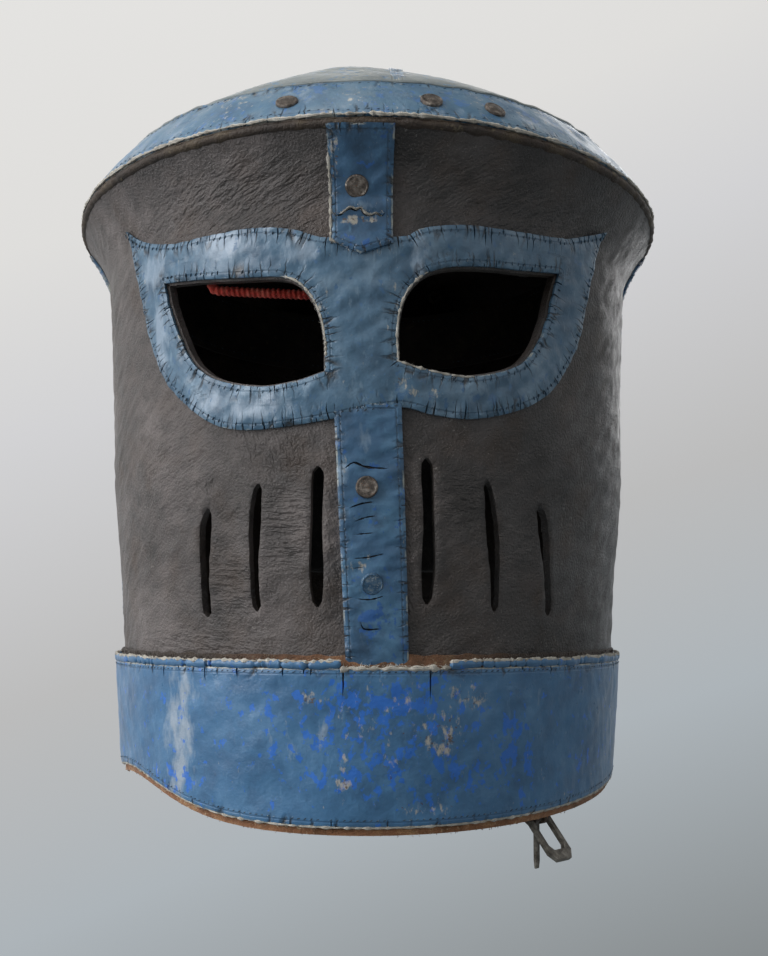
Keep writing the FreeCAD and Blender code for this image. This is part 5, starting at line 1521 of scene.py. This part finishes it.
# the red lacing: a tight twisted cord along its route, its ridges laid at half its own width
def makeCord():
    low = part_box("forehead_pad")[0][2] / mm
    route = [(-58.0, -92.5, low), (-58.0, -92.5, low - 4.6), (-57.0, -92.5, low - 6.2), (-54.0, -92.5, low - 6.7),
             (-30.0, -92.8, low - 7.8), (-8.0, -93.0, low - 8.6), (0.0, -104.0, low - 8.6),
             (4.0, -112.5, low - 8.0), (4.0, -112.5, low)]
    curve = bpy.data.curves.new("cordRoute", "CURVE")
    curve.dimensions = "3D"
    spline = curve.splines.new("NURBS")
    spline.points.add(len(route) - 1)
    for point, (x, y, z) in zip(spline.points, route):
        point.co = (x, y, z, 1)
    spline.order_u = 3
    spline.use_endpoint_u = True
    spline.resolution_u = 24
    guide = bpy.data.objects.new("cordRoute", curve)
    bpy.context.scene.collection.objects.link(guide)
    bpy.context.view_layer.update()
    line = bpy.data.meshes.new_from_object(guide)
    points = np.array([v.co for v in line.vertices])
    bpy.data.objects.remove(guide)
    run = np.concatenate([[0], np.cumsum(np.linalg.norm(np.diff(points, axis=0), axis=1))])
    at = np.arange(0, run[-1], cordLook["step"])
    path = np.column_stack([np.interp(at, run, points[:, i]) for i in range(3)])
    ahead = np.gradient(path, axis=0)
    ahead /= np.linalg.norm(ahead, axis=1)[:, None]
    side = np.cross(ahead, (0, 0.2, 1.0))
    side /= np.linalg.norm(side, axis=1)[:, None]
    up = np.cross(side, ahead)
    rings = []
    sides = cordLook["sides"]
    for angle in np.linspace(0, 2 * math.pi, sides, endpoint=False):
        ridges = np.cos(2 * math.pi * at / cordLook["radius"] + angle)      # one ridge for each radius along
        radius = cordLook["radius"] * (cordLook["thin"] + cordLook["ridge"] * ridges)
        rings.append(path + side * (radius * math.cos(angle))[:, None] + up * (radius * math.sin(angle))[:, None])
    vertices = np.stack(rings, 1).reshape(-1, 3) * mm
    faces = [(i * sides + k, i * sides + (k + 1) % sides, (i + 1) * sides + (k + 1) % sides, (i + 1) * sides + k)
             for i in range(len(at) - 1) for k in range(sides)]
    faces += [range(sides - 1, -1, -1), range((len(at) - 1) * sides, len(at) * sides)]
    cord = fromMesh("lacingCord", vertices, faces)
    mend(cord, outwards=True)
    finish(cord, cordFinish, "red_cord", ["lacing_cord"], angle=80)


makeHeadband()
makeSuspension("crossStrap", "suspension_cross_strap", False)
makeSuspension("longStrap", "suspension_long_strap", True)
for node, name, fill in (("forehead_pad", "foreheadPad", 0.7), ("rear_pad", "rearPad", 0.7),
                         ("cheek_pad_left", "cheekPadLeft", 0.6), ("cheek_pad_right", "cheekPadRight", 0.6),
                         ("nape_pad", "napePad", 0.6), ("crown_pad", "crownPad", 0.6)):
    makePad(node, name, fill)
makeNeckStrap()
makeCord()
print("inside made")


# the buckle
# the tab, frame and prong with their edges broken, as pressed and tumbled steel and cut leather
def makeBuckleParts():
    for node, name, body, edge, material, slot in (
            ("buckle_tab", "buckleTab", "tab", 0.35, strapFinish, "strap_leather"),
            ("buckle_frame", "buckleFrame", "frame", 0.32, buckleFinish, "buckle_steel"),
            ("buckle_prong", "buckleProng", "prong", 0.25, buckleFinish, "buckle_steel")):
        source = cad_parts[node]
        piece = bpy.data.objects.new(name, source.data.copy())
        bpy.context.scene.collection.objects.link(piece)
        select(piece)
        bpy.ops.object.mode_set(mode="EDIT")
        bpy.ops.mesh.select_all(action="SELECT")
        bpy.ops.mesh.remove_doubles(threshold=0.00001)
        bpy.ops.mesh.dissolve_limited(angle_limit=math.radians(4))
        bpy.ops.object.mode_set(mode="OBJECT")
        bevel = piece.modifiers.new("edges", "BEVEL")
        bevel.width = edge * mm
        bevel.segments = 3
        bevel.limit_method = "ANGLE"
        bevel.angle_limit = math.radians(45)
        applyAll(piece)
        finish(piece, material, slot, [node], body=body, angle=45)


makeBuckleParts()
print("buckle made")


# stage, light and camera
stageLook = {"floor": -1.3, "flat": 1.5, "wall": 2.2, "top": 2.6}


# a round sweep: a pale floor that turns up into a wall all the way round
def makeStage():
    profile = [(0.0, stageLook["floor"]), (stageLook["flat"], stageLook["floor"])]
    bend = stageLook["wall"] - stageLook["flat"]
    for angle in np.linspace(0, math.pi / 2, 9)[1:]:
        profile.append((stageLook["flat"] + bend * math.sin(angle),
                        stageLook["floor"] + bend * (1 - math.cos(angle))))
    profile.append((stageLook["wall"], stageLook["top"]))
    sweep = spun("studioSweep", profile, 96, inwards=True)
    bpy.ops.object.shade_smooth()
    material, tree, surface, place = newMaterial("palePaper", 0.9)
    # painted light and shade on the sweep: lighter at the top left, darker at the bottom right, and it glows in that
    # colour where the camera and reflections see it
    parts = addNode(tree, "SeparateXYZ", {}, {0: place})
    slant = addNode(tree, "Math", {"operation": "MULTIPLY_ADD", 1: -0.35}, {0: parts.outputs[0], 2: parts.outputs[2]})
    fade = addNode(tree, "MapRange", {"From Min": -1.11, "From Max": 1.26}, {"Value": slant})
    shade = colours(tree, fade, [(0.0, "#878c8e"), (0.22, "#adb4b9"), (0.4, "#bcbcbc"), (0.62, "#d2d2d4"),
                                 (0.78, "#dfdedc"), (1.0, "#e4e3e1")])
    tree.links.new(shade.outputs[0], surface.inputs["Base Color"])
    glow = addNode(tree, "Emission", {}, {"Color": shade})
    rays = addNode(tree, "LightPath")
    seen = addNode(tree, "Math", {"operation": "MAXIMUM"},
                   {0: rays.outputs["Is Camera Ray"], 1: rays.outputs["Is Glossy Ray"]})
    seen = addNode(tree, "Math", {"operation": "MAXIMUM"}, {0: seen, 1: rays.outputs["Is Transmission Ray"]})
    mixed = addNode(tree, "MixShader", {}, {0: seen, 1: surface.outputs[0], 2: glow.outputs[0]})
    tree.links.new(mixed.outputs[0], tree.nodes["Material Output"].inputs["Surface"])
    sweep.data.materials.append(material)


# name, place, size, watts and colour of each lamp: a tall window at one side does most of the work
lights = [("windowLeft", (-1.3, -0.62, 0.42), (0.8, 1.4), 18.0, "#fbfcff"),
          ("skylight", (-0.35, -0.35, 1.7), (1.5, 1.5), 11, "#fffdf8"),
          ("fillRight", (1.4, -0.9, 0.1), (1.0, 1.2), 1.0, "#f4f8ff"),
          ("roomBehind", (0.3, 1.5, 0.5), (1.4, 1.0), 8, "#ffffff")]
roomLook = {"colour": "#e8ebef", "strength": 0.2}
cameraLook = {"distance": 0.6, "height": -0.205, "lens": 52.5314, "film": 36.0, "upward": math.radians(5.4053),
              "aside": math.radians(0.6571)}


def makeLight(name, place, size, power, colour):
    lamp = bpy.data.lights.new(name, "AREA")
    lamp.shape = "RECTANGLE"
    lamp.size, lamp.size_y = size
    lamp.energy = power
    lamp.color = toLinear(colour)[:3]
    holder = bpy.data.objects.new(name, lamp)
    bpy.context.scene.collection.objects.link(holder)
    holder.location = place
    aim = Vector((0, 0, -0.13)) - Vector(place)
    holder.rotation_mode = "QUATERNION"
    holder.rotation_quaternion = aim.to_track_quat("-Z", "Y")


def makeCamera():
    look = cameraLook
    lens = bpy.data.cameras.new("camera")
    lens.sensor_fit = "AUTO"
    lens.sensor_width = look["film"]
    lens.lens = look["lens"]
    camera = bpy.data.objects.new("camera", lens)
    bpy.context.scene.collection.objects.link(camera)
    camera.location = (0, -look["distance"], look["height"])
    camera.rotation_euler = (math.pi / 2 + look["upward"], 0, -look["aside"])
    bpy.context.scene.camera = camera


makeStage()
for lamp in lights:
    makeLight(*lamp)
world = bpy.data.worlds.new("room")
world.use_nodes = True
world.node_tree.nodes["Background"].inputs[0].default_value = toLinear(roomLook["colour"])
world.node_tree.nodes["Background"].inputs[1].default_value = roomLook["strength"]
bpy.context.scene.world = world
bpy.context.scene.view_settings.view_transform = "Standard"
makeCamera()
print("stage made")
